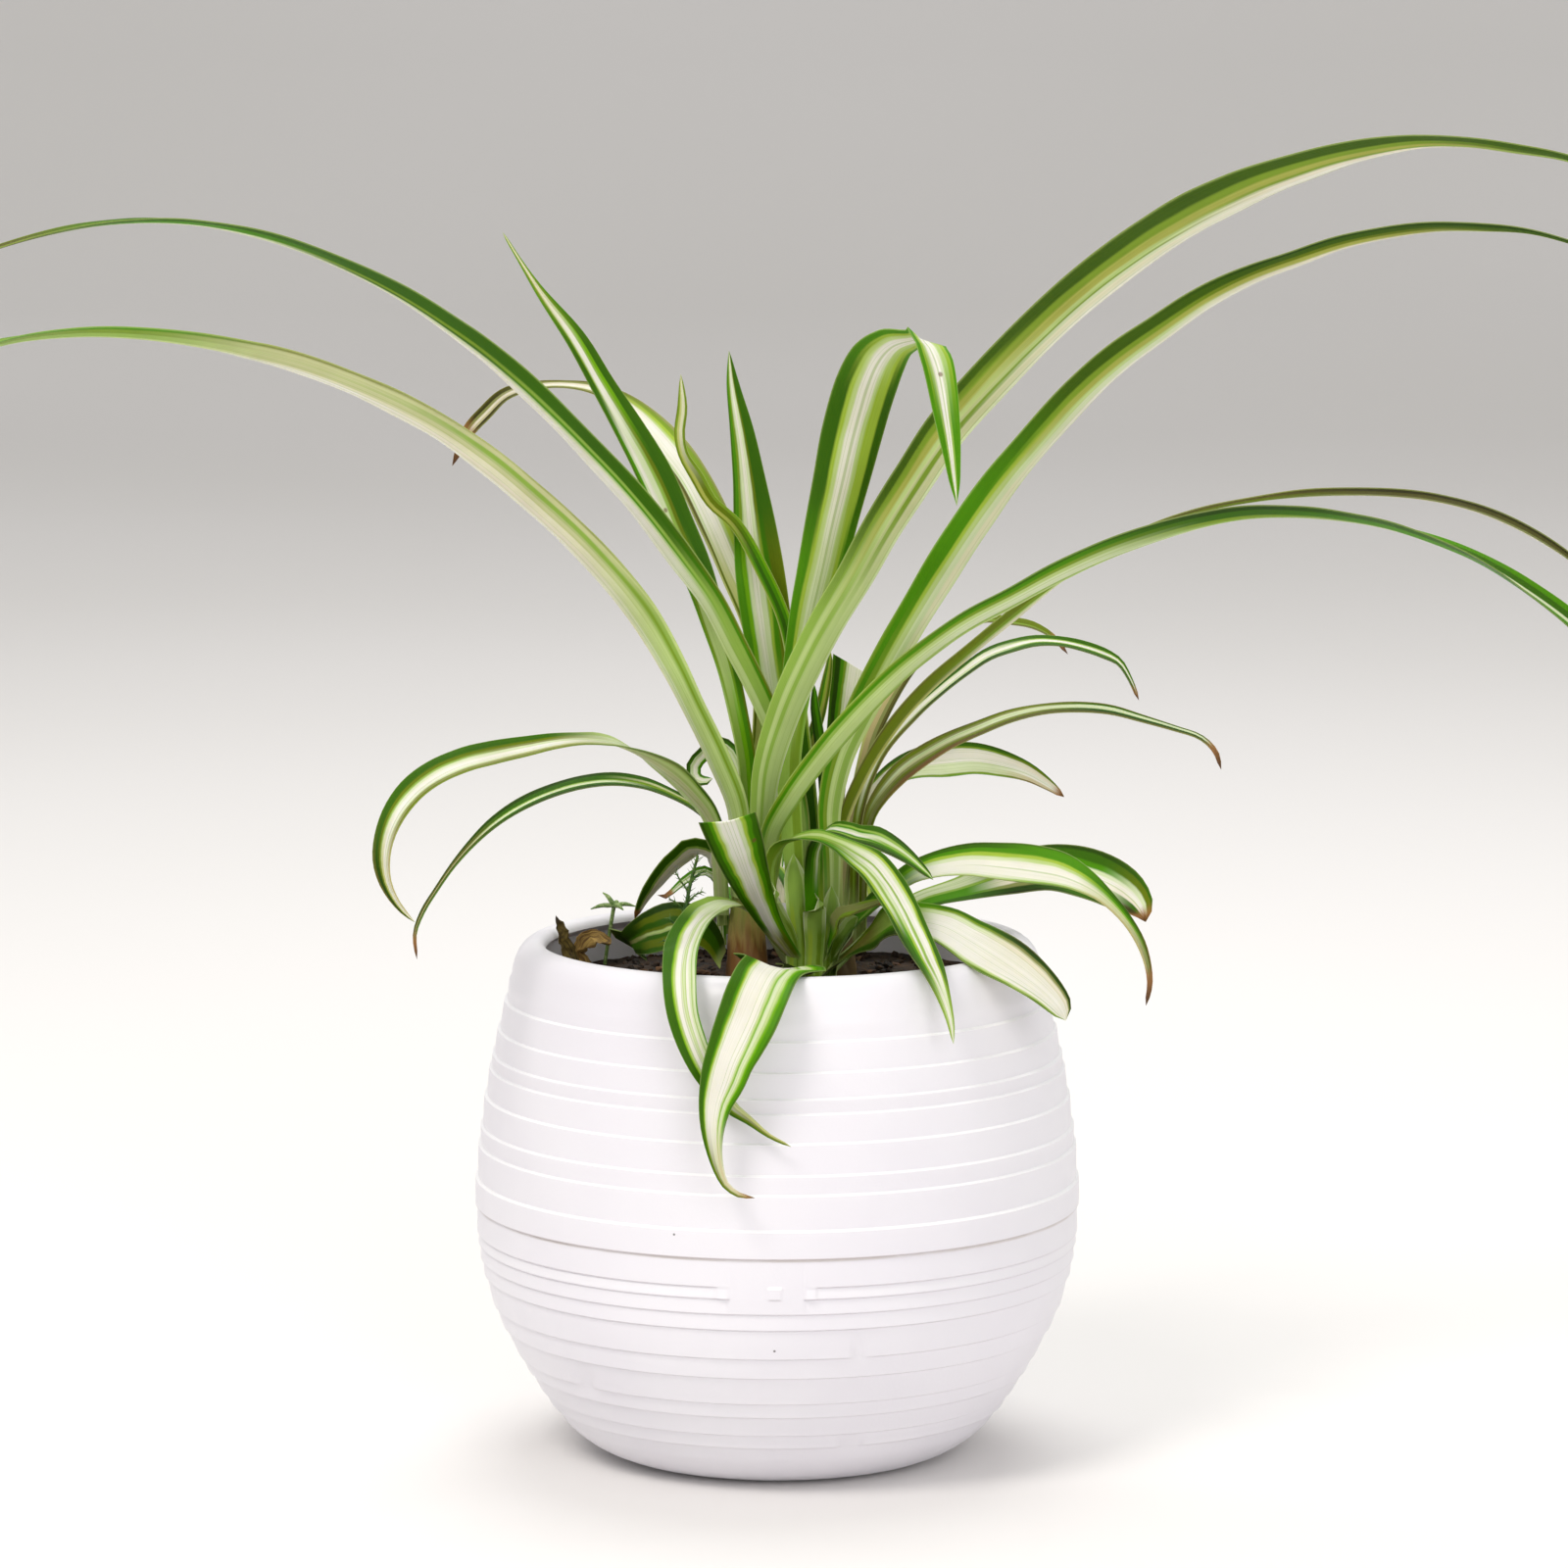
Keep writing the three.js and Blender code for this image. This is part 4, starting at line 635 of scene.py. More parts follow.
            [85, 156.4, 37.8, 1.1], [90.5, 154.4, 38.2, 1], [93.6, 151.4, 38.4, 0.9],
            [94.9, 147.5, 38.5, 0.6],
        ],
    },
    "leaf_right_pale": {
        "fold": 0.2,
        "face": [[-0.4, -0.6, 0.6], [-0.2, -0.75, 0.6], [0.4, -0.75, 0.5]],
        "path": [
            [16.2, 110.6, 20.3, 2.6], [16.3, 127.9, 26.6, 3], [17.6, 137, 30, 3.2],
            [20.5, 142.5, 32, 3.8], [25, 146.6, 34.4, 5], [30, 148.8, 37, 6.4],
            [36, 149.6, 39.6, 7.2], [42, 150, 42, 6.6], [48, 149, 44.4, 5.6], [53.5, 147.1, 46, 4],
            [58, 144.3, 47, 2.4], [61.4, 141.6, 47.4, 0.9],
        ],
    },
    "leaf_trimmed_back": {
        "fold": 0.15, "cut": -1.6,
        "face": [[-0.2, -0.95, 0.2], [-0.2, -0.95, 0.2], [-0.1, -1, 0.2]],
        "path": [
            [11.6, 115.8, 21.9, 3.2], [11.7, 131.9, 26.7, 4], [12.6, 148, 30, 5],
            [14, 160, 31, 6.2], [15.3, 170.4, 31.5, 7.2],
        ],
    },
    "leaf_narrow_upright": {
        "fold": 0.5,
        "face": [[0.3, -0.9, 0.2], [0.5, -0.8, 0.2], [0.8, -0.5, 0.2]],
        "path": [
            [11.3, 114.7, 15.4, 2], [7.9, 132, 18.9, 2.2], [6.4, 144, 20.4, 2.3],
            [7.2, 153, 21.6, 2.4], [9.2, 160, 22.4, 2.4], [10.6, 167, 23.4, 1.9],
            [11.4, 173, 24, 0.7],
        ],
    },
    "leaf_short_behind": {
        "fold": 0.3,
        "face": [[-0.3, -0.9, 0.2], [-0.4, -0.9, 0.2], [-0.2, -0.95, 0.2]],
        "path": [
            [10, 119, 9.8, 2], [10.4, 134, 14, 2.2], [9.8, 148, 17, 2.4], [8.6, 157, 18.4, 2.2],
            [8, 161.4, 18.8, 1.8], [7.9, 166, 19, 0.7],
        ],
    },
    "leaf_curled_left": {
        "fold": 0.2,
        "face": [[0.5, -0.8, 0.2], [0.2, -0.7, -0.6], [0.3, -0.8, 0.5]],
        "path": [
            [-8.5, 117.9, 17.4, 2.6], [-8.2, 136, 22.9, 3.2], [-8.4, 146, 26, 4],
            [-10.2, 151, 28.4, 4.4], [-13, 152.6, 31, 4], [-15.6, 151, 33, 3],
            [-17.8, 148.4, 33.6, 3.2], [-17.6, 146, 32, 2.8], [-15.8, 145, 30, 2.2],
            [-13.8, 145.6, 28, 0.9],
        ],
    },
    "leaf_left_arch_high": {
        "fold": 0.3,
        "face": [
            [0.4, 0.8, 0.3], [0.3, 0.5, 0.65], [0, -0.6, 0.8], [-0.4, -0.6, 0.4],
            [-0.75, -0.6, 0.1],
        ],
        "path": [
            [-11.9, 116.4, 12.3, 3], [-12.3, 126, 8.9, 3.2], [-12.8, 133, 5.8, 3.5],
            [-14.8, 138.4, 2.4, 3.8], [-18.7, 143.4, -2, 4.1], [-22.5, 147.2, -6, 4.2],
            [-27, 150.6, -10, 4], [-32, 153, -15, 3.2], [-36, 154, -18.4, 2.6],
            [-42, 154.2, -23, 2.6], [-48, 153.7, -27, 3.4], [-54.5, 152.5, -31.6, 4.4],
            [-61, 151.1, -36, 5], [-67.3, 149.5, -40.4, 5.2], [-73, 147, -44, 5.4],
            [-78, 143.3, -47.4, 5.4], [-81.8, 138.5, -50.4, 5], [-84, 133.2, -53, 4.3],
            [-84.7, 128, -55, 3.6], [-84, 123.4, -56, 2.6], [-82.1, 119.4, -56.6, 1.7],
            [-79.6, 116.3, -57, 1], [-77.6, 114.5, -57, 0.6],
        ],
    },
    "leaf_left_arch_low": {
        "fold": 0.35,
        "face": [[0.2, -0.3, 0.9], [0, -0.45, 0.9], [-0.7, -0.5, 0.3]],
        "path": [
            [-11.7, 113.8, 14.2, 1.8], [-11.8, 125.9, 13.9, 1.9], [-13.6, 135.6, 12.4, 2],
            [-17.4, 139.5, 10, 2.1], [-22.5, 142.4, 7, 2.3], [-28, 144.5, 4, 2.6],
            [-35, 145.5, 0.6, 2.7], [-42, 144.8, -2.6, 2.8], [-49, 142.7, -5.6, 2.8],
            [-55.5, 139.6, -9, 2.7], [-61, 135.8, -11.6, 2.3], [-65.5, 131.5, -13.6, 1.6],
            [-69.5, 126.8, -15.4, 1.1], [-73, 121.7, -17, 0.9], [-76, 116.8, -18.6, 0.9],
            [-77.7, 112, -19.4, 0.7], [-77.3, 106.5, -20, 0.6],
        ],
    },
    "leaf_trimmed_front": {
        "fold": 0.3, "cut": 1,
        "face": [[-0.1, 0.7, 0.7], [-0.2, 0.7, 0.65], [-0.2, 0.75, 0.6]],
        "path": [
            [4.6, 106.1, 5.9, 2.2], [2.3, 108.9, 1.6, 3.2], [-0.9, 113.4, -3.4, 4.6],
            [-3.6, 118.6, -7.6, 6.6], [-6.3, 125, -12, 9.3], [-8.6, 131.5, -16, 11.4],
            [-10.7, 137.2, -19, 12.3],
        ],
    },
    "leaf_front_hanging": {
        "fold": 0.2, "waves": 2.5, "sway": 0.7,
        "face": [[0, 0.1, 1], [0, 0, 1], [0, -0.7, 0.7], [0, -1, 0.05], [0.1, -1, 0.1]],
        "path": [
            [6, 103.6, 5.3, 2.4], [4.8, 104.8, -7.5, 3.8], [3.6, 104, -22, 5.2], [2, 105, -36, 6.4],
            [0.2, 105.8, -48, 8.6], [-2.2, 103.4, -59, 12.4], [-4.4, 98.8, -65, 13.4],
            [-6.4, 93.6, -67.6, 13.2], [-8.4, 89, -68.6, 12.2], [-10.3, 84.6, -69.2, 10.8],
            [-11.8, 80, -69.6, 9.8], [-13.3, 75, -70, 7.4], [-13.9, 70, -70.4, 5.4],
            [-13.6, 65, -70.8, 3.6], [-12.5, 60.2, -71, 2.3], [-11.1, 57.2, -71.2, 1.6],
            [-8.3, 55.1, -71.6, 1.2], [-4.8, 54.4, -72, 0.7],
        ],
    },
    "leaf_front_hanging_left": {
        "fold": 0.25,
        "face": [[0.3, 0.2, 1], [-0.3, -0.85, 0.3], [0.2, -0.95, 0.2]],
        "path": [
            [2, 106.1, 8.5, 1.8], [-2.1, 113, 5.2, 1.9], [-6, 117.6, 1, 2.4],
            [-10.6, 119.1, -5, 2.8], [-14.6, 117.8, -14, 5], [-18.4, 114, -30, 6.2],
            [-20.6, 108.4, -47, 7.2], [-21, 101.4, -58, 7.2], [-20.3, 94.6, -62.4, 6.8],
            [-18.4, 88.4, -64, 6.4], [-15.8, 82.6, -64.6, 5.6], [-12.8, 77.8, -65, 4.4],
            [-9.7, 74, -65.4, 3], [-6, 71.3, -66, 1.9], [-1.9, 68.1, -66.6, 1], [3, 65.6, -67, 0.6],
        ],
    },
    "leaf_left_back_pale": {
        "fold": 0.25,
        "face": [[0.2, 0.3, 0.9], [-0.2, 0.55, 0.8], [-0.8, 0.3, 0.3]],
        "path": [
            [-11.6, 112, 18.5, 2.4], [-12.1, 123, 19.9, 3], [-13.8, 129.4, 20.8, 3.5],
            [-17.4, 130.8, 22, 4], [-21, 128.6, 24, 4], [-24.3, 125.4, 26, 3.6],
            [-27, 121.9, 27.6, 3], [-29, 118.8, 28.6, 2], [-30.6, 115.2, 29, 0.8],
        ],
    },
    "leaf_small_pale_left": {
        "fold": 0.3,
        "face": [[0.2, -0.4, 0.9], [-0.1, -0.5, 0.85], [-0.4, -0.5, 0.75]],
        "path": [
            [-11.8, 109.6, 15.6, 1.8], [-12.2, 118.6, 16.8, 1.8], [-13.2, 124.2, 16.8, 1.8],
            [-15.8, 125.8, 16.2, 1.9], [-19.8, 123.7, 15.2, 1.6], [-22.2, 121.5, 14.6, 1.1],
            [-24, 120.1, 14.4, 0.9], [-25.7, 120.4, 14.2, 0.6],
        ],
    },
    "leaf_looped_dark": {
        "fold": 0.2,
        "face": [[0, -0.5, 0.85], [-0.4, -0.7, 0.5], [-0.5, -0.5, -0.5]],
        "path": [
            [-11.7, 106.4, 10, 2.8], [-14, 111, 7.6, 5], [-17.6, 114, 5.8, 8],
            [-22, 114.2, 5.4, 9.4], [-26.4, 112.8, 6.6, 9.2], [-30, 111.2, 10, 7.4],
            [-32, 110, 14, 5], [-31, 109, 18, 2.2],
        ],
    },
    "leaf_front_right_long": {
        "fold": 0.3,
        "face": [[-0.5, 0.8, 0.3], [-0.1, -0.45, 0.9], [0.5, -0.85, 0.2]],
        "path": [
            [2.8, 110.9, 4.3, 2.4], [-1.1, 120, -0.8, 2.4], [-1.4, 127.6, -3, 2.4],
            [0.8, 131.8, -4.4, 2.4], [4.6, 133.4, -7, 2.6], [8.6, 133.3, -10, 2.6],
            [12.4, 132, -13, 3.2], [16.4, 129.8, -16.6, 5], [20, 127.3, -20, 6.6],
            [23.9, 122.4, -25, 7.1], [26.7, 117.6, -29.6, 6.8], [28.9, 113, -35, 6.5],
            [31.4, 108, -42, 5.8], [33.9, 103, -48.6, 4.3], [35.8, 98, -52.6, 2.8],
            [37.2, 93, -54.6, 1.6], [37.9, 88, -56, 0.6],
        ],
    },
    "leaf_front_right_short": {
        "fold": 0.3,
        "face": [[0.1, 1, 0.2], [-0.1, -0.3, 0.95], [0.5, -0.6, 0.6]],
        "path": [
            [8, 108.4, 5.1, 3.4], [8, 117, 2.9, 4], [7.8, 126, 1.4, 4], [8.3, 132.4, 0.4, 3],
            [10.4, 135, -1.4, 2.8], [13.4, 134.9, -4.4, 3.7], [16.4, 134, -7.4, 4.2],
            [20.5, 133, -10.4, 4.6], [24.5, 131, -13.4, 4], [28, 128.6, -16, 3],
            [31, 126, -18.4, 1.8], [33.4, 123.7, -20, 0.7],
        ],
    },
    "leaf_right_long_arch": {
        "fold": 0.3,
        "face": [[-0.5, -0.3, 0.8], [-0.1, -0.55, 0.85], [0.85, -0.5, 0.1]],
        "path": [
            [12.2, 108.4, 6.4, 2.4], [15.4, 113.6, 4.6, 2.8], [19.6, 118.2, 2, 3.2],
            [24.4, 122.2, 0, 3.6], [29, 125.4, -2, 4.4], [34.6, 127.3, -4, 5.6],
            [41, 128.2, -6.4, 6.8], [48.5, 127.8, -9.4, 7.9], [55, 127, -12, 8.2],
            [60.6, 125.8, -14.4, 7.6], [65.4, 123.6, -16.4, 5.6], [70.2, 120.2, -18.4, 3.4],
            [75, 115, -20.4, 2.3], [78, 110, -21.6, 1.9], [79.6, 105, -22.2, 1.3],
            [80, 101, -22.4, 1], [79.2, 96.4, -22.5, 0.6],
        ],
    },
    "leaf_right_wide_dark": {
        "fold": 0.25, "waves": 3, "sway": 0.5,
        "face": [[-0.4, -0.3, 0.85], [-0.1, -0.75, 0.65], [0.7, -0.6, 0.3]],
        "path": [
            [11.7, 104.6, 12.3, 2.4], [17.3, 109.7, 11.6, 2.8], [24, 115, 11.4, 3.2],
            [31, 119.3, 12, 4], [40, 121.9, 12.8, 6], [49, 124.7, 13.4, 8], [57.6, 126.4, 14, 9.8],
            [64.6, 125.6, 14.4, 11.2], [70.6, 123.6, 14.6, 10.4], [75, 121, 14.6, 8.4],
            [77.8, 118, 14.4, 5.4], [79, 114.6, 14, 1.6],
        ],
    },
    "leaf_right_over_rim": {
        "fold": 0.2, "waves": 2.5, "sway": 0.5,
        "face": [[-0.4, -0.3, 0.85], [0.1, -0.75, 0.65], [0.75, -0.6, 0.3]],
        "path": [
            [10, 103.9, 5.4, 2.6], [14.6, 107.6, -0.6, 3], [19, 111.2, -6, 3.6],
            [24, 114.8, -11.4, 6.2], [29.4, 115.2, -17, 7.2], [35.6, 114, -23, 8.6],
            [41.4, 110.9, -28.6, 8.9], [47.6, 107.1, -34, 9.8], [53.2, 103.3, -38, 9.2],
            [57.7, 99.6, -40.4, 7.8], [60.7, 96.2, -41.6, 5.6], [62, 93.2, -42, 2],
        ],
    },
    "leaf_short_right": {
        "fold": 0.3,
        "face": [[-0.5, -0.4, 0.75], [0, -0.6, 0.8], [0.4, -0.6, 0.7]],
        "path": [
            [10.4, 107.5, 4.3, 1.6], [11.7, 112.4, 0.9, 2], [13, 116, -1.4, 2.3],
            [16.4, 117.3, -4, 2.2], [20, 118.4, -6.6, 1.7], [23.6, 119.4, -9, 0.7],
        ],
    },
    "leaf_back_middle": {
        "fold": 0.25, "true_widths": True,
        "face": [[0, -0.8, 0.5], [0, 0.3, 0.95], [0, 0.95, 0.2]],
        "path": [
            [7.1, 108.5, 12.5, 4], [4.6, 121.8, 29.3, 6.2], [1.6, 127, 48, 8], [0, 118, 68, 8],
            [-2, 100, 79, 5.4], [-3, 80, 83, 0.8],
        ],
    },
    "leaf_back_left": {
        "fold": 0.25, "true_widths": True,
        "face": [[0, -0.8, 0.5], [-0.1, 0.3, 0.95], [-0.2, 0.95, 0.2]],
        "path": [
            [-6.7, 109.9, 17.9, 3.6], [-7.9, 121, 33.7, 6.4], [-9, 122, 50, 8], [-12, 112, 68, 7],
            [-15, 94, 78, 4.6], [-17, 78, 81, 0.8],
        ],
    },
    "leaf_back_right": {
        "fold": 0.25, "true_widths": True,
        "face": [[0, -0.8, 0.5], [0.1, 0.3, 0.95], [0.2, 0.95, 0.2]],
        "path": [
            [14.7, 106.9, 21.3, 3.6], [14.9, 122, 33.8, 6.2], [17, 127.5, 50, 8], [19, 118, 68, 8],
            [22, 100, 78, 5.4], [24, 82, 81, 0.8],
        ],
    },
    "leaf_back_tall": {
        "fold": 0.3, "true_widths": True,
        "face": [[0, -0.9, 0.3], [0, -0.2, 0.95], [0, 0.8, 0.5]],
        "path": [
            [5.5, 116, 12.3, 3], [3.4, 138, 27.8, 5.4], [2.4, 151, 46, 7.5], [2, 157, 70, 7],
            [1.4, 152, 96, 5], [1, 138, 116, 2.6], [0.6, 120, 126, 0.8],
        ],
    },
}

# %% Curve through the stations
CURVE_SAMPLES = 400
EYE_DISTANCE = -EYE.y / MM
EYE_HEIGHT = EYE.z / MM


def true_point(station):
    x, z, y = station[:3]
    reach = y / EYE_DISTANCE
    return Vector((x * (1 + reach), y, z + (z - EYE_HEIGHT) * reach))


class GrowthLine:
    """A centripetal curve through points; its places are told as shares of its length."""

    def __init__(self, points):
        self.points = points
        self.last = len(points) - 1
        spots = [self.at(i / CURVE_SAMPLES) for i in range(CURVE_SAMPLES + 1)]
        self.lengths = [0.0]
        for a, b in zip(spots[:-1], spots[1:]):
            self.lengths.append(self.lengths[-1] + (b - a).length)
        self.length = self.lengths[-1]

    def at(self, place):
        i = min(int(place * self.last), self.last - 1)
        t = place * self.last - i
        b, c = self.points[i], self.points[i + 1]
        a = self.points[i - 1] if i else 2 * b - c
        d = self.points[i + 2] if i + 2 <= self.last else 2 * c - b
        gap0, gap1, gap2 = ((q - p).length ** 0.5 for p, q in ((a, b), (b, c), (c, d)))
        start = ((b - a) / gap0 - (c - a) / (gap0 + gap1) + (c - b) / gap1) * gap1
        end = ((c - b) / gap1 - (d - b) / (gap1 + gap2) + (d - c) / gap2) * gap1
        return hermite(b, c, start, end, t)

    def place_of(self, share):
        aim = share * self.length
        low, high = 0, CURVE_SAMPLES
        while high - low > 1:
            middle = (low + high) // 2
            if self.lengths[middle] <= aim:
                low = middle
            else:
                high = middle
        step = self.lengths[high] - self.lengths[low]
        return (low + (aim - self.lengths[low]) / step) / CURVE_SAMPLES

    def heading(self, place):
        step = 0.0001
        return (self.at(min(place + step, 1)) - self.at(max(place - step, 0))).normalized()


# %% [markdown]
# At every row of a blade there is a small frame of three directions: along the leaf,
# across it, and up out of its upper side. The seen width is turned into a true one with
# the angle at which the blade is seen. The keel is a rounded V rather than a sharp one,
# the margins thin out, and the tip runs to a rounded point.

# %% Frame and width of a blade
BLADE_THICKNESS = 0.5
LEAST_WIDTH = 0.8
LEAST_SHOWN = 0.4
LEAST_RUN = 0.05
WIDTH_BULGE = 1.06
KEEL_ROUNDING = 0.16
POINT_SHARE = 0.02
POINT_BLUNTNESS = 0.04


def face_at(leaf, share):
    faces = [Vector(v).normalized() for v in leaf["face"]]
    place = share * (len(faces) - 1)
    i = min(int(place), len(faces) - 2)
    return faces[i].lerp(faces[i + 1], place - i)


def width_at(path, place):
    """Seen width, a smooth curve through the stations' widths."""
    i = min(int(place), len(path) - 2)
    t = place - i
    before, here, there, after = (
        path[min(max(k, 0), len(path) - 1)][3] for k in (i - 1, i, i + 1, i + 2))
    start, end = (there - before) / 2, (after - here) / 2
    smooth = hermite(here, there, start, end, t)
    return min(max(smooth, min(here, there)), max(here, there) * WIDTH_BULGE)


def blade_frame(leaf, line, share):
    place = line.place_of(share)
    middle = line.at(place)
    along = line.heading(place)
    across = along.cross(face_at(leaf, share)).normalized()
    up = across.cross(along).normalized()
    sight = (middle - EYE / MM).normalized()
    run = max((along - sight * along.dot(sight)).length, LEAST_RUN)
    shown = max(abs(up.dot(sight)) / run, LEAST_SHOWN)
    seen = width_at(leaf["path"], place * (len(leaf["path"]) - 1))
    if "true_widths" not in leaf:
        seen *= (1 + middle.y / EYE_DISTANCE) / shown
    width = max(seen, LEAST_WIDTH)
    return middle, along, across, up, width / 2


# %% Blade mesh
BLADE_COLUMNS = 12
ROW_LENGTH = 1.7
LEAST_ROWS = 16
FULL_RIPPLE_HALF_WIDTH = 3
MARGIN_WAVE = 0.32
WAVE_LENGTH = 14
MARGIN_THINNING = 0.55
FULL_THICKNESS_PER_HALF_WIDTH = 1.5
CUT_SHARE = 0.08


def blade_slab(columns, rows):
    """A flat slab of the blade's grid: x and y from 0 to 1, the upper side at z = 1."""
    bm = bmesh.new()
    bmesh.ops.create_grid(bm, x_segments=columns, y_segments=rows, size=0.5)
    bmesh.ops.translate(bm, verts=bm.verts, vec=(0.5, 0.5, 0))
    top = bmesh.ops.extrude_face_region(bm, geom=bm.faces[:], use_keep_orig=True)
    raised = [item for item in top["geom"] if isinstance(item, bmesh.types.BMVert)]
    bmesh.ops.translate(bm, verts=raised, vec=(0, 0, 1))
    bmesh.ops.recalc_face_normals(bm, faces=bm.faces)
    return bm


def blade_mesh(leaf, seed, columns=BLADE_COLUMNS, row_length=ROW_LENGTH):
    line = GrowthLine([true_point(s) for s in leaf["path"]])
    rows = max(int(line.length / row_length), LEAST_ROWS)
    frames = [blade_frame(leaf, line, i / rows) for i in range(rows + 1)]
    bm = blade_slab(columns, rows)
    blade_uv = bm.loops.layers.uv.new("blade")
    for face in bm.faces:
        for loop in face.loops:
            loop[blade_uv].uv = loop.vert.co.xy
    for vert in bm.verts:
        share = vert.co.y
        side = 2 * vert.co.x - 1
        top = vert.co.z > 0.5
        middle, along, across, up, half = frames[round(share * rows)]
        if "cut" not in leaf:
            rounded = math.sqrt(min((1 - share) / POINT_SHARE, 1))
            half *= lerp(POINT_BLUNTNESS, 1, rounded)
        calm = min(1, half / FULL_RIPPLE_HALF_WIDTH)
        ripple = leaf.get("sway", 0) * calm * math.sin(2 * math.pi * leaf.get("waves", 0) * share)
        wander = noise.noise(Vector((share * line.length / WAVE_LENGTH, side, seed * 7.3)))
        thickness = BLADE_THICKNESS * (1 - MARGIN_THINNING * side * side)
        thickness *= min(1, half * FULL_THICKNESS_PER_HALF_WIDTH)
        keel = math.sqrt(side * side + KEEL_ROUNDING ** 2) - 1
        lift = (keel * leaf["fold"] * half + side * ripple
                + MARGIN_WAVE * calm * side * side * wander
                + (thickness / 2 if top else -thickness / 2))
        slant = leaf.get("cut", 0) * side * smoothstep(1 - CUT_SHARE, 1, share)
        vert.co = (middle + across * side * half + up * lift + along * slant) * MM
    return bm


# %% [markdown]
# ### Stripes
#
# Each leaf has its own run of stripes: green margins and a cream or white middle on most,
# a few almost all green, and the old ones dull and tan. A small palette of leaf colours is
# enough. A run is told as colours from one margin to the other, with the borders between
# them in percent of the width. A leaf starts fresh and pale at its base and often shows its
# other side further out, so it has a list of runs, each with the share of the leaf's length
# where it takes over. The UV map carries the place across and along the blade, so the
# stripes follow every turn. Noise that is stretched along the blade makes the borders
# wander and draws the fine veins.

# %% Palette and stripe shader
PALETTE = {
    "night": "#202a02", "deep": "#254400", "dark": "#366400", "green": "#4b8a00",
    "bright": "#72ab08", "grass": "#7a9828", "fresh": "#91b24e", "lime": "#a2bd40",
    "olive": "#66780c", "sage": "#a6ab50", "moss": "#898f54", "pale": "#bcd08a",
    "mist": "#d2ddb8", "reed": "#c5c99a", "straw": "#bfc27c", "cream": "#e1dfc4",
    "white": "#e9e7e0", "ivory": "#e2dccb", "sand": "#cfc3a4", "tan": "#bcae80",
    "bark": "#5c5a24", "umber": "#3b3a10", "brown": "#6f4e2b", "rust": "#8f6838",
    "moor": "#3c5c02",
}
RUN_BLEND = 0.07
EDGE = 0.018
SEED_STEP = 0.37
NEVER_DRY = 1.1


def stripes(words):
    """Colour stops of a run such as "dark 20 cream 85 dark": bands, and borders in percent."""
    parts = words.split()
    paints = [PALETTE[name] for name in parts[::2]]
    borders = [float(place) / 100 for place in parts[1::2]]
    stops = []
    for i, border in enumerate(borders):
        gaps = [abs(border - other) for other in borders if other != border]
        half = min([EDGE, *(gap / 2 for gap in gaps)])
        stops += [(border - half, paints[i]), (border + half, paints[i + 1])]
    return stops


def leaf_material(name, runs, tip, spots, seed):
    nodes = Nodes(name + "_stripes")
    uv = nodes.add("ShaderNodeUVMap", {"uv_map": "blade"}).outputs[0]
    parts = nodes.add("ShaderNodeSeparateXYZ", None, Vector=uv)
    across, along = parts.outputs[0], parts.outputs[1]
    shift = (seed * SEED_STEP, seed * SEED_STEP, 0.0)
    shifted = nodes.add("ShaderNodeMapping", None, Vector=uv, Location=shift).outputs[0]
    wander = nodes.noise(nodes.stretch(shifted, (2.0, 7.0, 1.0)), 1.0, 2.0)
    place = nodes.math("ADD", across, nodes.span(wander, 0.2, 0.8, -0.025, 0.025))
    paint = nodes.ramp(place, stripes(runs[0][1]))
    for start, words in runs[1:]:
        begun = nodes.span(along, start - RUN_BLEND, start + RUN_BLEND)
        paint = nodes.mix(begun, paint, nodes.ramp(place, stripes(words)))
    sheath = nodes.span(along, 0.09, 0.0, 0.0, 0.75)
    paint = nodes.mix(sheath, paint, color("#bdd084"))
    veins = nodes.noise(nodes.stretch(shifted, (52.0, 1.3, 1.0)), 1.0, 3.0)
    lines = nodes.ramp(veins, [(0.34, "#ffffff"), (0.5, "#f8f8f2"), (0.68, "#dde0c8")])
    paint = nodes.mix(0.45, paint, lines, "MULTIPLY")
    thread = nodes.noise(nodes.stretch(shifted, (6.0, 0.3, 1.0)), 1.0, 1.0)
    light = nodes.add("ShaderNodeRGBToBW", None, Color=paint).outputs[0]
    drawn = nodes.math("MULTIPLY", nodes.span(nodes.off(thread, 0.5), 0.02, 0.007),
                       nodes.span(light, 0.35, 0.6, 0.0, 0.45))
    paint = nodes.mix(drawn, paint, color("#8cab45"))
    spot = object_place(nodes)
    cloud = nodes.noise(spot, 70.0, 3.0)
    shade = nodes.ramp(cloud, [(0.3, "#f2f1ec"), (0.7, "#ffffff")])
    paint = nodes.mix(1.0, paint, shade, "MULTIPLY")
    rim = nodes.span(nodes.off(across, 0.5), 0.47, 0.5, 0.0, 0.3)
    paint = nodes.mix(rim, paint, color("#b4c47c"))
    ragged = nodes.math("ADD", along, nodes.span(veins, 0.2, 0.8, -0.012, 0.012))
    dry = nodes.span(ragged, tip - 0.02, tip + 0.01)
    dry_paint = nodes.mix(nodes.span(ragged, tip, 1.0), color("#94693c"), color("#4b3019"))
    paint = nodes.mix(dry, paint, dry_paint)
    speck = nodes.specks(spot, 210.0, (0.16, 0.08), (0.975 - spots, 0.98 - spots, 0.0, 0.7))
    paint = nodes.mix(speck, paint, color("#6b4a2a"))
    nodes.bump(veins, 0.3, 0.0003)
    return nodes.surface(Base_Color=paint, Roughness=nodes.span(cloud, 0.3, 0.7, 0.42, 0.54),
                         IOR=1.42, Specular_IOR_Level=0.14, Subsurface_Weight=0.22,
                         Subsurface_Scale=0.001, Subsurface_Radius=(1.0, 0.9, 0.4))


# %% [markdown]
# Now every leaf gets its stripes. A run starts at the share of the length that stands
# before it. TIPS tells where a leaf turns dry and brown; a leaf that isn't listed is green
# to its end. SPOTS makes old leaves a little more speckled.

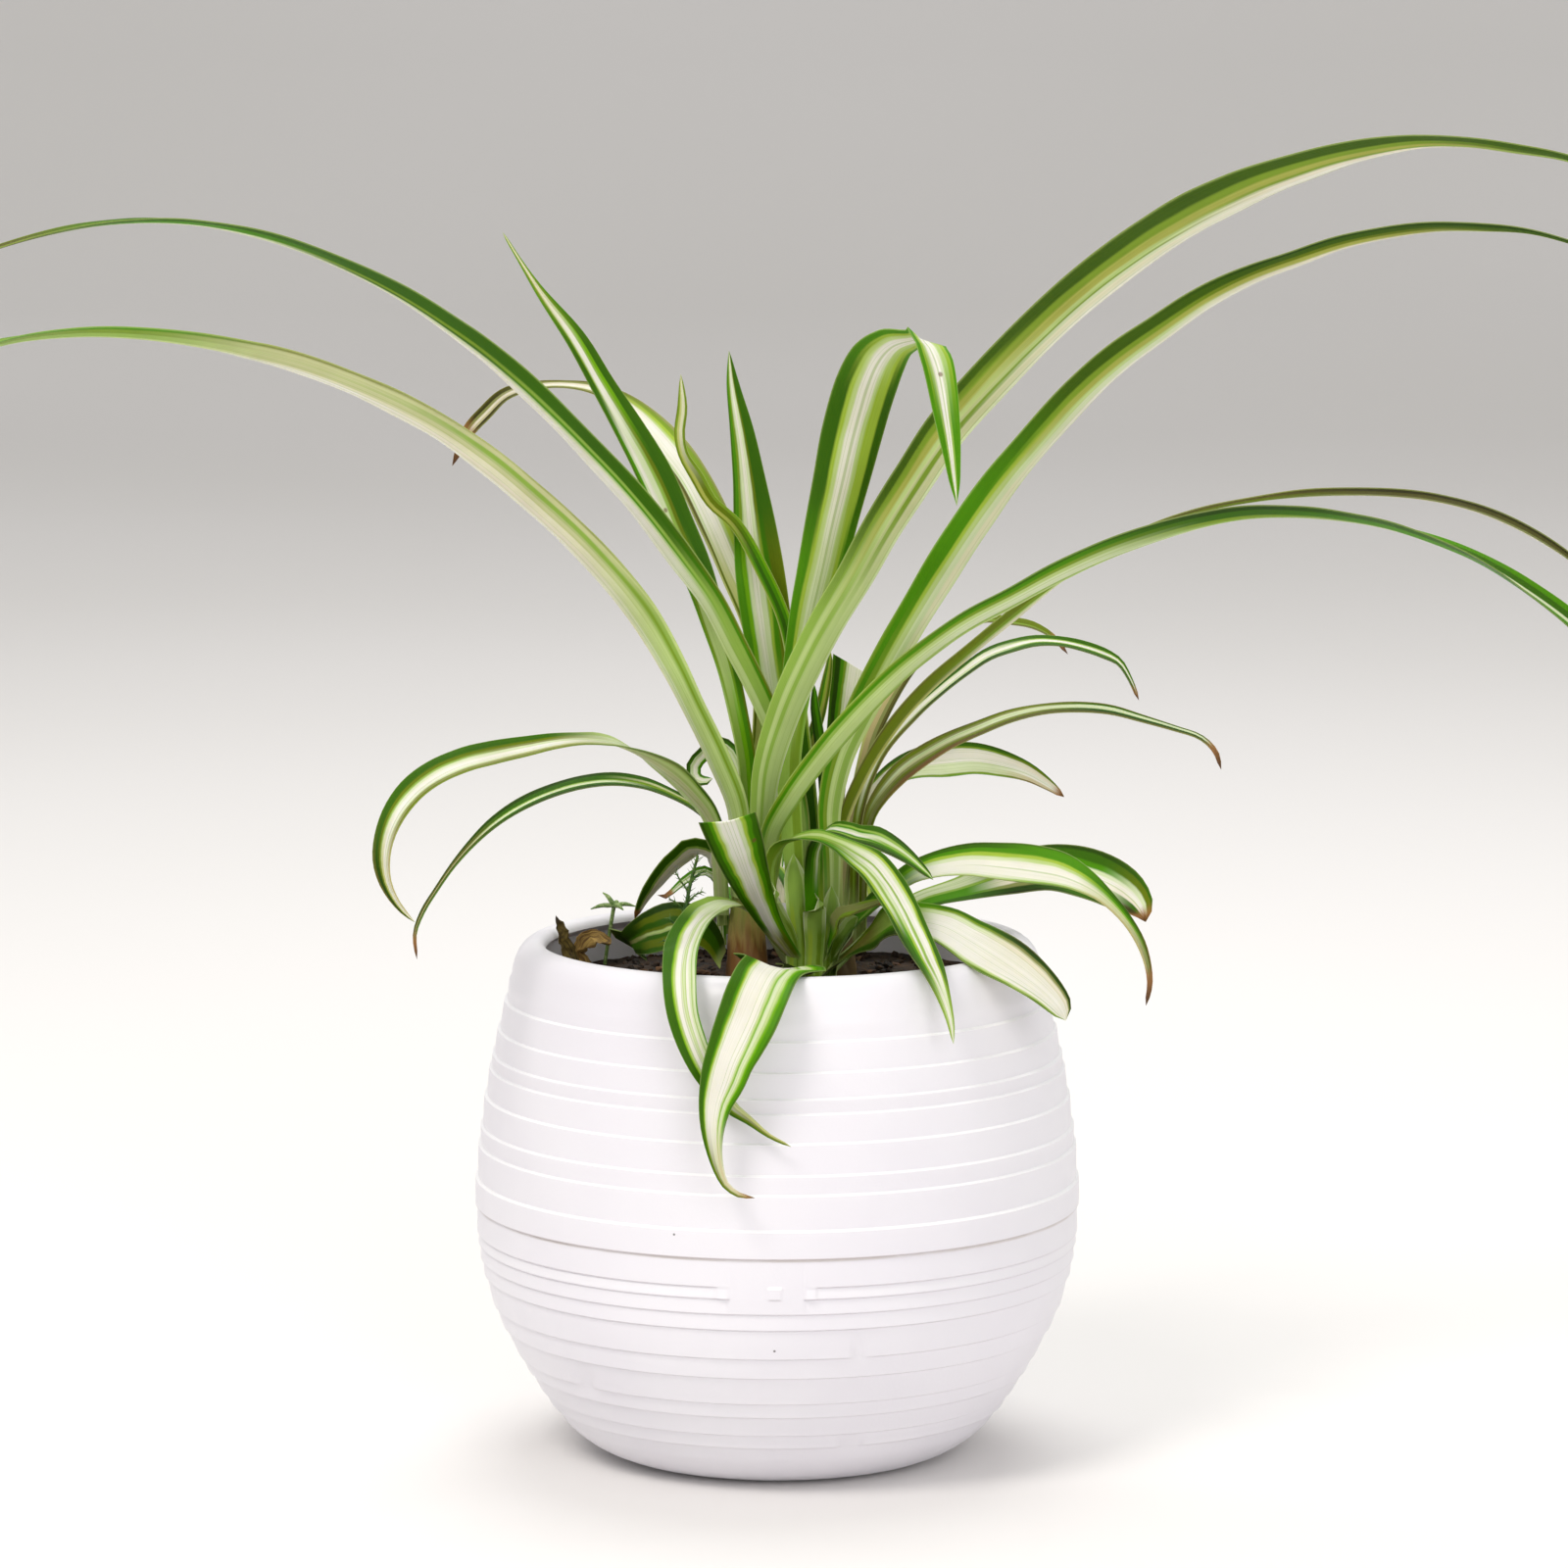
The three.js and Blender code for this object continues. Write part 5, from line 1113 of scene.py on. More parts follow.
# %% Stripes of each leaf
MARKINGS = {
    "leaf_long_left_low": [
        (0, "pale 7 fresh 18 grass 24 fresh 29 pale 72 mist 92 cream"),
        (0.28, "moss 3 reed 15 fresh 27 reed 44 cream 68 ivory 89 white"),
        (0.5, "moss 7 reed 51 cream 62 white"),
        (0.68, "green 7 grass 24 fresh 41 pale 65 fresh 78 grass 93 green")],
    "leaf_long_left_high": [
        (0, "olive 6 green 16 fresh 53 pale"),
        (0.27, "dark 28 fresh 35.5 green 42 mist 48.5 white"),
        (0.47, "dark 30 grass 37.5 dark 43.5 mist 50 white 77 ivory"),
        (0.68, "dark 15 green 36 mist 54 green 79 dark"),
        (0.86, "olive 15 bark 85 olive")],
    "leaf_upright_left": [
        (0, "pale 7.5 fresh 46.5 bright 68 green 89 olive"),
        (0.27, "green 6 grass 17 pale 60.5 grass 72 dark"),
        (0.46, "dark 6 green 15 mist 21 white 35 mist 50 fresh 58 olive 67 dark"),
        (0.68, "dark 21.5 grass 28 mist 34.5 white 57.5 fresh 65.5 bright 75 dark"),
        (0.86, "green 12 grass 30 straw 41 cream 70 grass 88 green")],
    "leaf_arching_back_left": [
        (0, "straw 5 olive 14 straw 39 cream 66 olive"),
        (0.42, "moss 5 bark 14 mist 23 white 67 pale 73.5 lime 82.5 grass 94 moss"),
        (0.68, "bark 8 moss 22 ivory 32 white 51 ivory 70 moss 87 bark"),
        (0.84, "bark 10 umber 26 sand 41 ivory 58 moss 73 umber 90 bark")],
    "leaf_small_twisted": [
        (0, "pale 8 green 22 dark 80 grass 94 pale"),
        (0.46, "straw 4 grass 14 green 27 dark 52 green 77 bright 92 grass"),
        (0.67, "olive 15 sage 40 olive 75 grass"),
        (0.84, "olive 9 grass 24 straw 39 cream 76 grass 91 olive")],
    "leaf_upright_middle": [
        (0, "fresh 9 lime 25 mist 60 lime 83 fresh"),
        (0.4, "green 15.5 bright 25 mist 32 white 45 mist 57 lime 63.5 green 73.5 olive"),
        (0.66, "dark 6 green 16 grass 24 mist 33 white 44 mist 54 olive 62 dark")],
    "leaf_bent_forward": [
        (0, "fresh 7.5 grass 43 fresh"),
        (0.26, "green 19 lime 27 pale 37 mist 64 pale 72 lime 80 green"),
        (0.46, "dark 13.5 lime 31 pale 38 white 62 pale 69 lime 76 dark"),
        (0.7, "green 7 lime 20 pale 33 white 65 pale 75 lime 85 green"),
        (0.86, "green 31 fresh 40 white 60 fresh 69 green")],
    "leaf_long_right_top": [
        (0, "mist 6 pale 57 fresh 69 pale 82 fresh"),
        (0.27, "mist 12 reed 37 grass 52 reed 58 pale 67 sage 77 grass 86 moor"),
        (0.46, "white 15 cream 36 mist 45 grass 50 pale 57 sage 69 grass 80 moor"),
        (0.66, "bark 4 white 41 ivory 55 grass 60 sage 69 grass 80 moor"),
        (0.86, "mist 46 moss 55 fresh 64 moor")],
    "leaf_long_right_second": [
        (0, "pale 15 fresh 45 pale 67 grass 82 green 95 grass"),
        (0.27, "mist 10 cream 32.5 mist 51.5 pale 62 lime 70 green"),
        (0.47, "white 17 mist 42 pale 55 sage 66 grass 76 moor"),
        (0.66, "white 22 ivory 52 sage 66 olive 76 moor 90 deep"),
        (0.86, "mist 20 pale 46 olive 59 moor 83 deep")],
    "leaf_long_right_third": [
        (0, "grass 6 fresh 18 pale 70 fresh 81 green 93 grass"),
        (0.27, "pale 10 fresh 27 mist 62 pale 73 grass 83 green 94 dark"),
        (0.47, "mist 15 pale 38 fresh 52 grass 64 dark 85 deep"),
        (0.64, "green 19 dark 42 mist 57 green 80 dark")],
    "leaf_long_right_thin": [
        (0, "straw 14 sage 34 olive 92.5 bark"),
        (0.3, "cream 18 ivory 42 pale 54 grass 70 olive"),
        (0.5, "cream 17 ivory 40 grass 52 olive 79 bark"),
        (0.68, "cream 22 ivory 51 moss 64 bark 85 umber")],
    "leaf_tip_behind_right": [
        (0, "straw 15 tan 45 moss 70 bark 90 umber"),
        (0.62, "olive 50 grass 80 bark")],
    "leaf_right_mid": [
        (0, "olive 27 grass 50 olive 70 bark"),
        (0.25, "bark 6 olive 17 reed 26 white 51 moss 62 olive 73 bark"),
        (0.46, "deep 8 dark 20 mist 28 white 52 mist 66 dark 75 deep"),
        (0.67, "dark 26 fresh 33 white 49 fresh 57 dark 90 deep")],
    "leaf_right_lower": [
        (0, "bark 15 olive 45 moss 80 olive"),
        (0.28, "bark 6 olive 16 moss 24 mist 32 reed 41 moss 50 olive 60 bark 73 brown"),
        (0.47, "bark 5 olive 14 moss 22 mist 45 moss 56 olive 68 bark"),
        (0.67, "bark 7 dark 20 mist 46 dark 58 deep 82 bark")],
    "leaf_right_pale": [
        (0, "olive 10 straw 40 cream 80 moss"),
        (0.36, "deep 5 dark 13.5 grass 19.5 white 59 mist 93 grass 98 green"),
        (0.84, "dark 8 olive 20 ivory 42 white 75 sand 95 brown")],
    "leaf_trimmed_back": [
        (0, "olive 10 dark 30 olive 50 straw 80 moss"),
        (0.6, "dark 10 deep 25 green 35 grass 43 mist 50 white")],
    "leaf_narrow_upright": [
        (0, "olive 55 sage 80 olive"),
        (0.66, "olive 23 green 53 lime 66 sage 77 olive 86 dark 95 sage")],
    "leaf_short_behind": [
        (0, "deep 20 dark 50 green 80 dark")],
    "leaf_curled_left": [
        (0, "dark 6 green 18 mist 28 white 51 mist 75 green 90 dark"),
        (0.62, "dark 8 green 21 mist 30 white 52 mist 75 dark 90 deep")],
    "leaf_left_arch_high": [
        (0, "deep 2 dark 6.5 fresh 12.5 pale 33 reed 67 pale 92 reed"),
        (0.3, "dark 3 moss 10 pale 22 reed 45 mist 80 pale"),
        (0.46, "olive 7 moss 18 reed 26 white 51 mist 62 moss 70 olive 79 dark"),
        (0.64, "olive 8 moss 20 mist 27.5 white 56 mist 62 fresh 67 olive 77 dark"),
        (0.87, "tan 8 ivory 26 white 45 straw 59 olive 69 deep 87 bark")],
    "leaf_left_arch_low": [
        (0, "deep 25 dark 57 grass 69 reed 79 dark 92 deep"),
        (0.4, "deep 18 dark 40 mist 57 fresh 62 dark 82 deep"),
        (0.72, "dark 17 bark 38 reed 47 moss 56 bark 80 deep")],
    "leaf_trimmed_front": [
        (0, "green 15 olive 36 moss 47 straw 63.5 cream 81.5 straw 94 fresh"),
        (0.28, "dark 5 green 17 bright 28 mist 36 white 69 fresh 75 green 82 dark"),
        (0.5, "deep 3.5 dark 13.5 green 23.5 lime 30.5 mist 38 white 65 mist 70.5 lime 76.5 green "
              "84 dark 94 deep")],
    "leaf_front_hanging": [
        (0, "olive 15 bark 45 night"),
        (0.3, "dark 4.5 green 11.5 bright 15.5 pale 19.5 mist 27.5 bright 30.5 pale 34.5 white 74.5 "
              "mist 78.5 lime 81.5 green 85 dark"),
        (0.88, "ivory 15 sand 40 reed 57 moss 72 olive 90 dark")],
    "leaf_front_hanging_left": [
        (0, "pale 25 mist 75 fresh"),
        (0.3, "green 4 mist 13.5 fresh 16.5 mist 24 white 31.5 pale 34.5 mist 38 pale 42 white 61 "
              "pale 66 lime 69.5 bright 73 dark"),
        (0.88, "reed 13 straw 37 moss 57 olive 83 dark")],
    "leaf_left_back_pale": [
        (0, "dark 24 fresh 32 ivory 41 white")],
    "leaf_small_pale_left": [
        (0, "green 7 mist 20 white 35 mist 49 fresh 57 mist 70 green")],
    "leaf_looped_dark": [
        (0, "olive 28 dark 68 deep"),
        (0.35, "dark 12 olive 32 dark 43 pale 50 olive 57 dark 70 olive 85 deep"),
        (0.7, "deep 15 dark 39 moss 52 dark 60 deep")],
    "leaf_front_right_long": [
        (0, "grass 20 fresh 55 grass"),
        (0.25, "green 7 fresh 22 pale 38 fresh 53 grass 70 green 90 dark"),
        (0.44, "dark 11.5 lime 18 mist 25.5 white 41 fresh 47 white 56 mist 66 fresh 73.5 mist 82.5 "
               "lime 90.5 dark"),
        (0.66, "dark 15 lime 21 white 40 fresh 49.5 white 56.5 lime 65 green 75 dark 90 deep"),
        (0.88, "grass 8 fresh 22 mist 42 white 64 pale 81 fresh 95 grass")],
    "leaf_front_right_short": [
        (0, "grass 25 green"),
        (0.28, "dark 6 green 18 fresh 31 mist 44 fresh 56 green 70 dark 89 deep"),
        (0.46, "dark 18 fresh 25 green 32 mist 40 white 49 green 58 fresh 68 dark 80 deep"),
        (0.7, "deep 7 dark 19 fresh 29 mist 40 fresh 51 green 63 dark 85 deep")],
    "leaf_right_long_arch": [
        (0, "dark 20 green 50 fresh 70 green 90 dark"),
        (0.28, "deep 4 dark 13 green 22.5 lime 31.5 mist 40 white 91.5 mist 97.5 pale"),
        (0.5, "dark 3 green 23.5 lime 30.5 pale 37.5 white 84 mist 91.5 fresh 97.5 dark"),
        (0.7, "deep 6 dark 21 green 35 fresh 45 reed 88 tan"),
        (0.86, "rust 9 bark 29 moss 80 tan")],
    "leaf_right_wide_dark": [
        (0, "fresh 6 mist 38 fresh 46 green 81 dark"),
        (0.5, "deep 6 dark 39 grass 48 ivory 71 moss 81 deep 93 night"),
        (0.68, "deep 8 dark 22 green 32 mist 40 white 59 mist 79 green 88 dark 96 deep"),
        (0.88, "dark 8 olive 22 mist 35 white 48 ivory 59 dark 74 umber 92 brown")],
    "leaf_right_over_rim": [
        (0, "olive 25 bark 75 deep"),
        (0.27, "green 13 fresh 58 green 70 dark 82 deep 94 night"),
        (0.44, "dark 7.5 grass 13 mist 22 white 89.5 mist 95 grass 98.5 dark"),
        (0.68, "night 3 deep 8.5 moss 14 ivory 25.5 white 89 pale 94 grass 98 dark")],
    "leaf_short_right": [
        (0, "green 75 dark"),
        (0.27, "moss 50 grass 80 olive"),
        (0.66, "grass 20 moss 70 bark")],
    "leaf_back_middle": [
        (0, "dark 10 green 26 lime 36 cream 66 lime 76 green 91 dark")],
    "leaf_back_left": [
        (0, "dark 8 green 22 pale 32 white 51 cream 70 lime 79 green 92 dark")],
    "leaf_back_right": [
        (0, "green 28 pale 38 cream 64 lime 74 green 90 dark")],
    "leaf_back_tall": [
        (0, "dark 12 green 30 lime 40 cream 62 pale 72 green 89 dark")],
}
TIPS = {
    "leaf_arching_back_left": 0.95, "leaf_right_mid": 0.98, "leaf_right_lower": 0.95,
    "leaf_right_pale": 0.975, "leaf_left_arch_low": 0.96, "leaf_left_back_pale": 0.95,
    "leaf_small_pale_left": 0.88, "leaf_right_long_arch": 0.93, "leaf_right_wide_dark": 0.975,
    "leaf_front_hanging": 0.985, "leaf_short_right": 0.93, "leaf_tip_behind_right": 0.95,
}
SPOTS = {"leaf_trimmed_back": 0.02, "leaf_right_wide_dark": 0.03, "leaf_looped_dark": 0.03}

for number, (name, leaf) in enumerate(LEAVES.items(), 1):
    material = leaf_material(name, MARKINGS[name], TIPS.get(name, NEVER_DRY),
                             SPOTS.get(name, 0), number)
    finish_piece(blade_mesh(leaf, number), name + "_blade", material, [name])
print("blades:", len(LEAVES))

# %% [markdown]
# ## The rootstocks
#
# The base of each fan is a short stem of packed leaf bases: fleshy, pale, and brown where
# old leaves have dried off. A plain cone would read as a peg, so a spun skin is pressed
# into flutes that twist as they rise, one for each wrapped leaf base. Each row of the table
# is the stem's middle, its height and its two half widths: x, y, z, across and deep.

# %% Rootstock table
CROWNS = {
    "crown_left": [(-6.6, 14, 84, 4.6, 3.9), (-6.6, 14, 103, 4.6, 3.9),
                   (-6.6, 14, 112, 3.9, 3.3), (-6.4, 13.8, 122, 3, 2.6)],
    "crown_middle": [(6.6, 9, 84, 4, 3.4), (6.6, 9, 101.5, 4, 3.4),
                     (6.5, 9.2, 110, 3, 2.7), (6.3, 9.8, 119, 2, 1.9)],
    "crown_right": [(14, 18, 84, 3.4, 3), (14, 18, 102, 3.4, 3),
                    (13.8, 18, 109, 2.6, 2.4), (13.6, 18.2, 115, 1.8, 1.7)],
}
CROWN_TURN_STEPS = 64
CROWN_ROWS = 44
CROWN_MERGE = 1e-5
FLUTE_DEPTH = 0.13
FLUTES = 5
FLUTE_TWIST = 0.09
FLUTE_START, FLUTE_FULL = 98, 104
CROWN_DENTS = 0.03


def crown_at(rows, z):
    for low, high in zip(rows[:-1], rows[1:]):
        if z <= high[2]:
            break
    share = (z - low[2]) / (high[2] - low[2])
    return [lerp(a, b, share) for a, b in zip(low, high)]


def crown_mesh(rows, seed):
    foot, head = rows[0][2], rows[-1][2]
    heights = [foot + (head - foot) * i / CROWN_ROWS for i in range(CROWN_ROWS + 1)]
    profile = [(0, foot), *((1, z) for z in heights), (0.5, head + 0.5), (0, head + 0.7)]
    bm = lathe(profile, CROWN_TURN_STEPS, merge=CROWN_MERGE)
    for vert in bm.verts:
        x, y, z, rx, ry = crown_at(rows, min(vert.co.z, head))
        angle = math.atan2(vert.co.y, vert.co.x)
        wave = abs(math.sin(FLUTES / 2 * (angle + FLUTE_TWIST * (z - foot)) + seed))
        press = 1 - FLUTE_DEPTH * (1 - wave) ** 2 * smoothstep(FLUTE_START, FLUTE_FULL, z)
        spot = Vector((math.cos(angle) * 2, math.sin(angle) * 2, z / 5))
        press += CROWN_DENTS * noise.noise(spot)
        vert.co.x = (x + vert.co.x * rx * press) * MM
        vert.co.y = (y + vert.co.y * ry * press) * MM
        vert.co.z *= MM
    bmesh.ops.recalc_face_normals(bm, faces=bm.faces)
    return bm


def crown_material(name, low, middle, high):
    nodes = Nodes(name)
    place = object_place(nodes)
    height = nodes.add("ShaderNodeSeparateXYZ", None, Vector=place).outputs[2]
    fibre = nodes.noise(nodes.stretch(place, (900.0, 900.0, 60.0)), 1.0, 3.0)
    level = nodes.math("ADD", nodes.span(height, 0.098, 0.122),
                       nodes.span(fibre, 0.3, 0.7, -0.16, 0.16))
    paint = nodes.ramp(level, [(0.0, low), (0.3, low), (0.5, middle), (0.95, high)])
    streaks = nodes.span(fibre, 0.5, 0.68, 0.0, 0.55)
    paint = nodes.mix(streaks, paint, color("#7d5f38"))
    nodes.bump(fibre, 0.4, 0.0004)
    return nodes.surface(Base_Color=paint, Roughness=nodes.span(fibre, 0.3, 0.7, 0.45, 0.65),
                         Subsurface_Weight=0.15, Subsurface_Scale=0.0015,
                         Subsurface_Radius=(1.0, 0.8, 0.4))


CROWN_COLORS = {
    "crown_left": ("#8a5f30", "#ab904e", "#98a648"),
    "crown_middle": ("#8a7c45", "#9db45c", "#93b650"),
    "crown_right": ("#7d683e", "#a0a860", "#8fa850"),
}
for seed, (name, rows) in enumerate(CROWNS.items()):
    material = crown_material(name + "_sheaths", *CROWN_COLORS[name])
    finish_piece(crown_mesh(rows, seed), name + "_sheaths", material, [name])
print("rootstocks:", len(CROWNS))

# %% [markdown]
# ### Wrapped leaf bases
#
# In life a leaf's foot is a pale folded sheath that clasps the rootstock right down to the
# soil. Each sheath below is a short blade of the same kind as the leaf, folded more deeply
# and a little wider. It rises from the soil outside the foot of its leaf and hugs it.

# %% Sheaths
SHEATH_FEET = {
    "leaf_bent_forward": [5.2, 100.6, 5.6, 4.2], "leaf_long_right_second": [9.4, 100.6, 6.4, 4.4],
    "leaf_front_right_long": [3.6, 100.6, 5.4, 3], "leaf_front_right_short": [7.6, 100.6, 4.8, 3.8],
    "leaf_right_long_arch": [10.6, 100.6, 5.8, 3.6],
}
SHEATH_FORWARD = 0.8
SHEATH_WIDER = 1.2
SHEATH_FOLD = 0.5
SHEATH_COLUMNS = 10
SHEATH_END_SHARE = 0.45
SHEATH_END_WIDTH = 0.8
FIRST_SHEATH_NUMBER = 50
SHEATH_RUNS = [
    (0, "pale 4 fresh 17 grass 38 fresh 62 lime 83 fresh 96 pale"),
    (0.6, "mist 4 pale 19 fresh 83 pale 96 mist"),
]


def sheath_path(leaf, foot):
    """From the foot past the leaf's first station, a little nearer to the viewer."""
    near = [[x, z, y - SHEATH_FORWARD, w * SHEATH_WIDER] for x, z, y, w in leaf["path"][:3]]
    end = [lerp(a, b, SHEATH_END_SHARE) for a, b in zip(near[1][:3], near[2])]
    return [foot, near[0], near[1], [*end, SHEATH_END_WIDTH]]


for number, (name, foot) in enumerate(SHEATH_FEET.items(), FIRST_SHEATH_NUMBER):
    leaf = {"fold": SHEATH_FOLD, "face": LEAVES[name]["face"][:2],
            "path": sheath_path(LEAVES[name], foot)}
    material = leaf_material(name + "_sheath", SHEATH_RUNS, NEVER_DRY, 0, number)
    sheath = blade_mesh(leaf, number, columns=SHEATH_COLUMNS)
    finish_piece(sheath, name + "_sheath", material)
print("sheaths:", len(SHEATH_FEET))

# %% [markdown]
# ## The soil
#
# Potting mix is peat with bark crumbs, damp and almost black. Its surface is lumpy at three
# scales, and all of them are real relief in a spun disc, whose rings lie close together at
# the top. The crumbs are a few hundred small angular bits, seeded so that they fall the
# same way each time, with only a few faces each.

# %% Soil body
SOIL_TOP = 100
SOIL_EDGE = 54.9
SOIL_GAP = 0.3
SOIL_FOOT = FLOOR_FLAT - SOIL_GAP
SOIL_RINGS = 60
SOIL_TURN_STEPS = 200
LUMP_HEIGHT = 1.1
LUMP_SIZES = ((11, 3.1, 0.75), (3.6, 8.4, 0.5), (1.5, 1.7, 0.28))


def lumps(x, y):
    """Height of the soil's surface above its mean: big, small and tiny lumps together."""
    return LUMP_HEIGHT * sum(share * noise.noise(Vector((x / size, y / size, layer)))
                             for size, layer, share in LUMP_SIZES)


def soil_mesh():
    inside = [z for z in reversed(INSIDE_HEIGHTS) if z < SOIL_TOP]
    skirt = [(outline_radius(z) - POT_WALL - SOIL_GAP, z) for z in inside]
    top = [(SOIL_EDGE * (1 - i / SOIL_RINGS), SOIL_TOP) for i in range(SOIL_RINGS + 1)]
    profile = [(0, POT_FLOOR + SOIL_GAP), (SOIL_FOOT, POT_FLOOR + SOIL_GAP), *skirt, *top]
    bm = lathe(profile, SOIL_TURN_STEPS, MM)
    for vert in bm.verts:
        if vert.co.z > (SOIL_TOP - 0.1) * MM:
            vert.co.z += lumps(vert.co.x / MM, vert.co.y / MM) * MM
    bmesh.ops.recalc_face_normals(bm, faces=bm.faces)
    return bm


# %% Soil material
def soil_material(name="damp_potting_mix", dark="#170e07", light="#45301c", chip="#7a5430"):
    nodes = Nodes(name)
    place = object_place(nodes)
    coarse = nodes.noise(place, 230.0, 5.0, 0.65)
    fine = nodes.noise(place, 1100.0, 4.0, 0.7)
    paint = nodes.mix(nodes.span(coarse, 0.35, 0.68), color(dark), color(light))
    paint = nodes.mix(nodes.span(fine, 0.56, 0.72, 0.0, 0.7), paint, color(chip))
    height = nodes.math("ADD", coarse, nodes.math("MULTIPLY", fine, 0.5))
    nodes.bump(height, 0.9, 0.0012)
    return nodes.surface(Base_Color=paint, Roughness=nodes.span(fine, 0.3, 0.7, 0.7, 0.98))


SOIL = soil_material()
finish_piece(soil_mesh(), "soil_surface", SOIL, ["soil"], sharp=60)
print("soil surface at", SOIL_TOP, "mm")

# %% [markdown]
# Crumbs and bark chips lie on the surface at the height of the lumps below them. Each
# starts as a small icosphere, is squashed and turned at random, and gets dented corners.

# %% Crumbs
CRUMBS = 620
CHIPS = 90
CRUMB_REACH = 52
CROWN_CLEARANCE = 5.5
CROWN_SPOTS = [(rows[1][0], rows[1][1]) for rows in CROWNS.values()]


def disc_spot(dice, reach):
    """A random radius and angle, spread evenly over a disc."""
    return reach * math.sqrt(dice.random()), dice.uniform(0, 2 * math.pi)


def free_spot(dice, reach):
    """A random spot on the soil that is clear of the rootstocks."""
    while True:
        radius, angle = disc_spot(dice, reach)
        x, y = radius * math.cos(angle), radius * math.sin(angle)
        if all(math.hypot(x - cx, y - cy) > CROWN_CLEARANCE for cx, cy in CROWN_SPOTS):
            return x, y


def add_crumb(bm, dice, size, stretch):
    x, y = free_spot(dice, CRUMB_REACH)
    made = bmesh.ops.create_icosphere(bm, subdivisions=1, radius=size)["verts"]
    for vert in made:
        vert.co *= dice.uniform(0.72, 1.2)
    bmesh.ops.scale(bm, verts=made, vec=stretch)
    turn = Matrix.Rotation(dice.uniform(0, math.pi), 3, "Z")
    turn = turn @ Matrix.Rotation(dice.uniform(-0.5, 0.5), 3, "X")
    bmesh.ops.rotate(bm, verts=made, cent=(0, 0, 0), matrix=turn)
    bmesh.ops.translate(bm, verts=made, vec=(x, y, SOIL_TOP + lumps(x, y) + size * 0.25))


def crumbs_mesh(count, sizes, stretch, seed):
    dice = random.Random(seed)
    bm = bmesh.new()
    for _ in range(count):
        add_crumb(bm, dice, dice.uniform(*sizes), stretch)
    bmesh.ops.scale(bm, verts=bm.verts, vec=(MM, MM, MM))
    return bm


CHIP = soil_material("bark_chips", "#3a2413", "#7a5430", "#a37a48")
finish_piece(crumbs_mesh(CRUMBS, (0.35, 1.15), (1, 1, 0.8), 4), "soil_crumbs", SOIL)
finish_piece(crumbs_mesh(CHIPS, (0.7, 1.6), (1.7, 0.8, 0.45), 9), "soil_chips", CHIP)
print("crumbs and chips:", CRUMBS + CHIPS)

# %% [markdown]
# ## Moss and small growth
#
# A little yellow-green moss sits on the soil at the left. It is made of tiny leaves, each a
# four-sided spike, in low cushions. The clubmoss sprig in front of the left rootstock is a
# thin stem with many soft needles, and the seedling at the back has five narrow leaves.
# The moss leaves and the needles are spikes, so one helper makes them: it takes a small
# cone, stands it up along a direction and sets its foot. Another draws a round stalk along a
# curve, for the stems and the seedling's leaves.

# %% Spikes and stalks
def add_spike(bm, foot, tip, width, sides=4):
    """A tapering spike from foot to tip, in millimetres."""
    reach = tip - foot
    made = bmesh.ops.create_cone(bm, cap_ends=True, segments=sides, radius1=width / 2,
                                 radius2=width / 12, depth=reach.length)["verts"]
    turn = Vector((0, 0, 1)).rotation_difference(reach).to_matrix()
    bmesh.ops.rotate(bm, verts=made, cent=(0, 0, 0), matrix=turn)
    bmesh.ops.translate(bm, verts=made, vec=foot + reach / 2)


def add_stalk(bm, points, widths, sides=10, rows=30):
    """A round stalk along a curve: a ring that is extruded row by row, closed at both ends."""
    line = GrowthLine(points)
    ring = bmesh.ops.create_circle(bm, cap_ends=True, segments=sides, radius=0.5)["verts"]
    start = [v.co.copy() for v in ring]
    faces = list({f for v in ring for f in v.link_faces})
    for row in range(rows + 1):
        if row:
            grown = bmesh.ops.extrude_face_region(bm, geom=faces)["geom"]
            faces = [g for g in grown if isinstance(g, bmesh.types.BMFace)]
            ring = [g for g in grown if isinstance(g, bmesh.types.BMVert)]
            ring.sort(key=lambda v: v.index)
        share = row / rows
        place = line.place_of(share)
        spot = share * (len(widths) - 1)
        i = min(int(spot), len(widths) - 2)
        width = lerp(widths[i], widths[i + 1], spot - i)
        turn = Vector((0, 0, 1)).rotation_difference(line.heading(place)).to_matrix()
        for vert, flat in zip(ring, start):
            vert.co = line.at(place) + turn @ (flat * width)
    return line


def to_metres(bm):
    bmesh.ops.recalc_face_normals(bm, faces=bm.faces)
    bmesh.ops.scale(bm, verts=bm.verts, vec=(MM, MM, MM))
    return bm


# %% Growth materials
def growth_material(name, low, high, streak, scale=600.0):
    nodes = Nodes(name)
    place = object_place(nodes)
    coarse = nodes.noise(place, scale, 3.0)
    fine = nodes.noise(place, scale * 4, 2.0)
    paint = nodes.mix(nodes.span(coarse, 0.35, 0.65), color(low), color(high))
    paint = nodes.mix(nodes.span(fine, 0.55, 0.7, 0.0, 0.6), paint, color(streak))
    nodes.bump(fine, 0.3, 0.0002)
    return nodes.surface(Base_Color=paint, Roughness=nodes.span(fine, 0.3, 0.7, 0.5, 0.75),
                         Subsurface_Weight=0.15, Subsurface_Scale=0.0006,
                         Subsurface_Radius=(0.6, 1.0, 0.3))


NEEDLE_GREEN = growth_material("clubmoss_needles", "#2f5a1a", "#5c8232", "#6a3a2c")
MOSS_GREEN = growth_material("moss_cushion", "#6f7426", "#9aa04a", "#c2bd74", 900.0)
SEEDLING_GREEN = growth_material("seedling_leaves", "#5c7a3a", "#86a05c", "#c9cfa0")

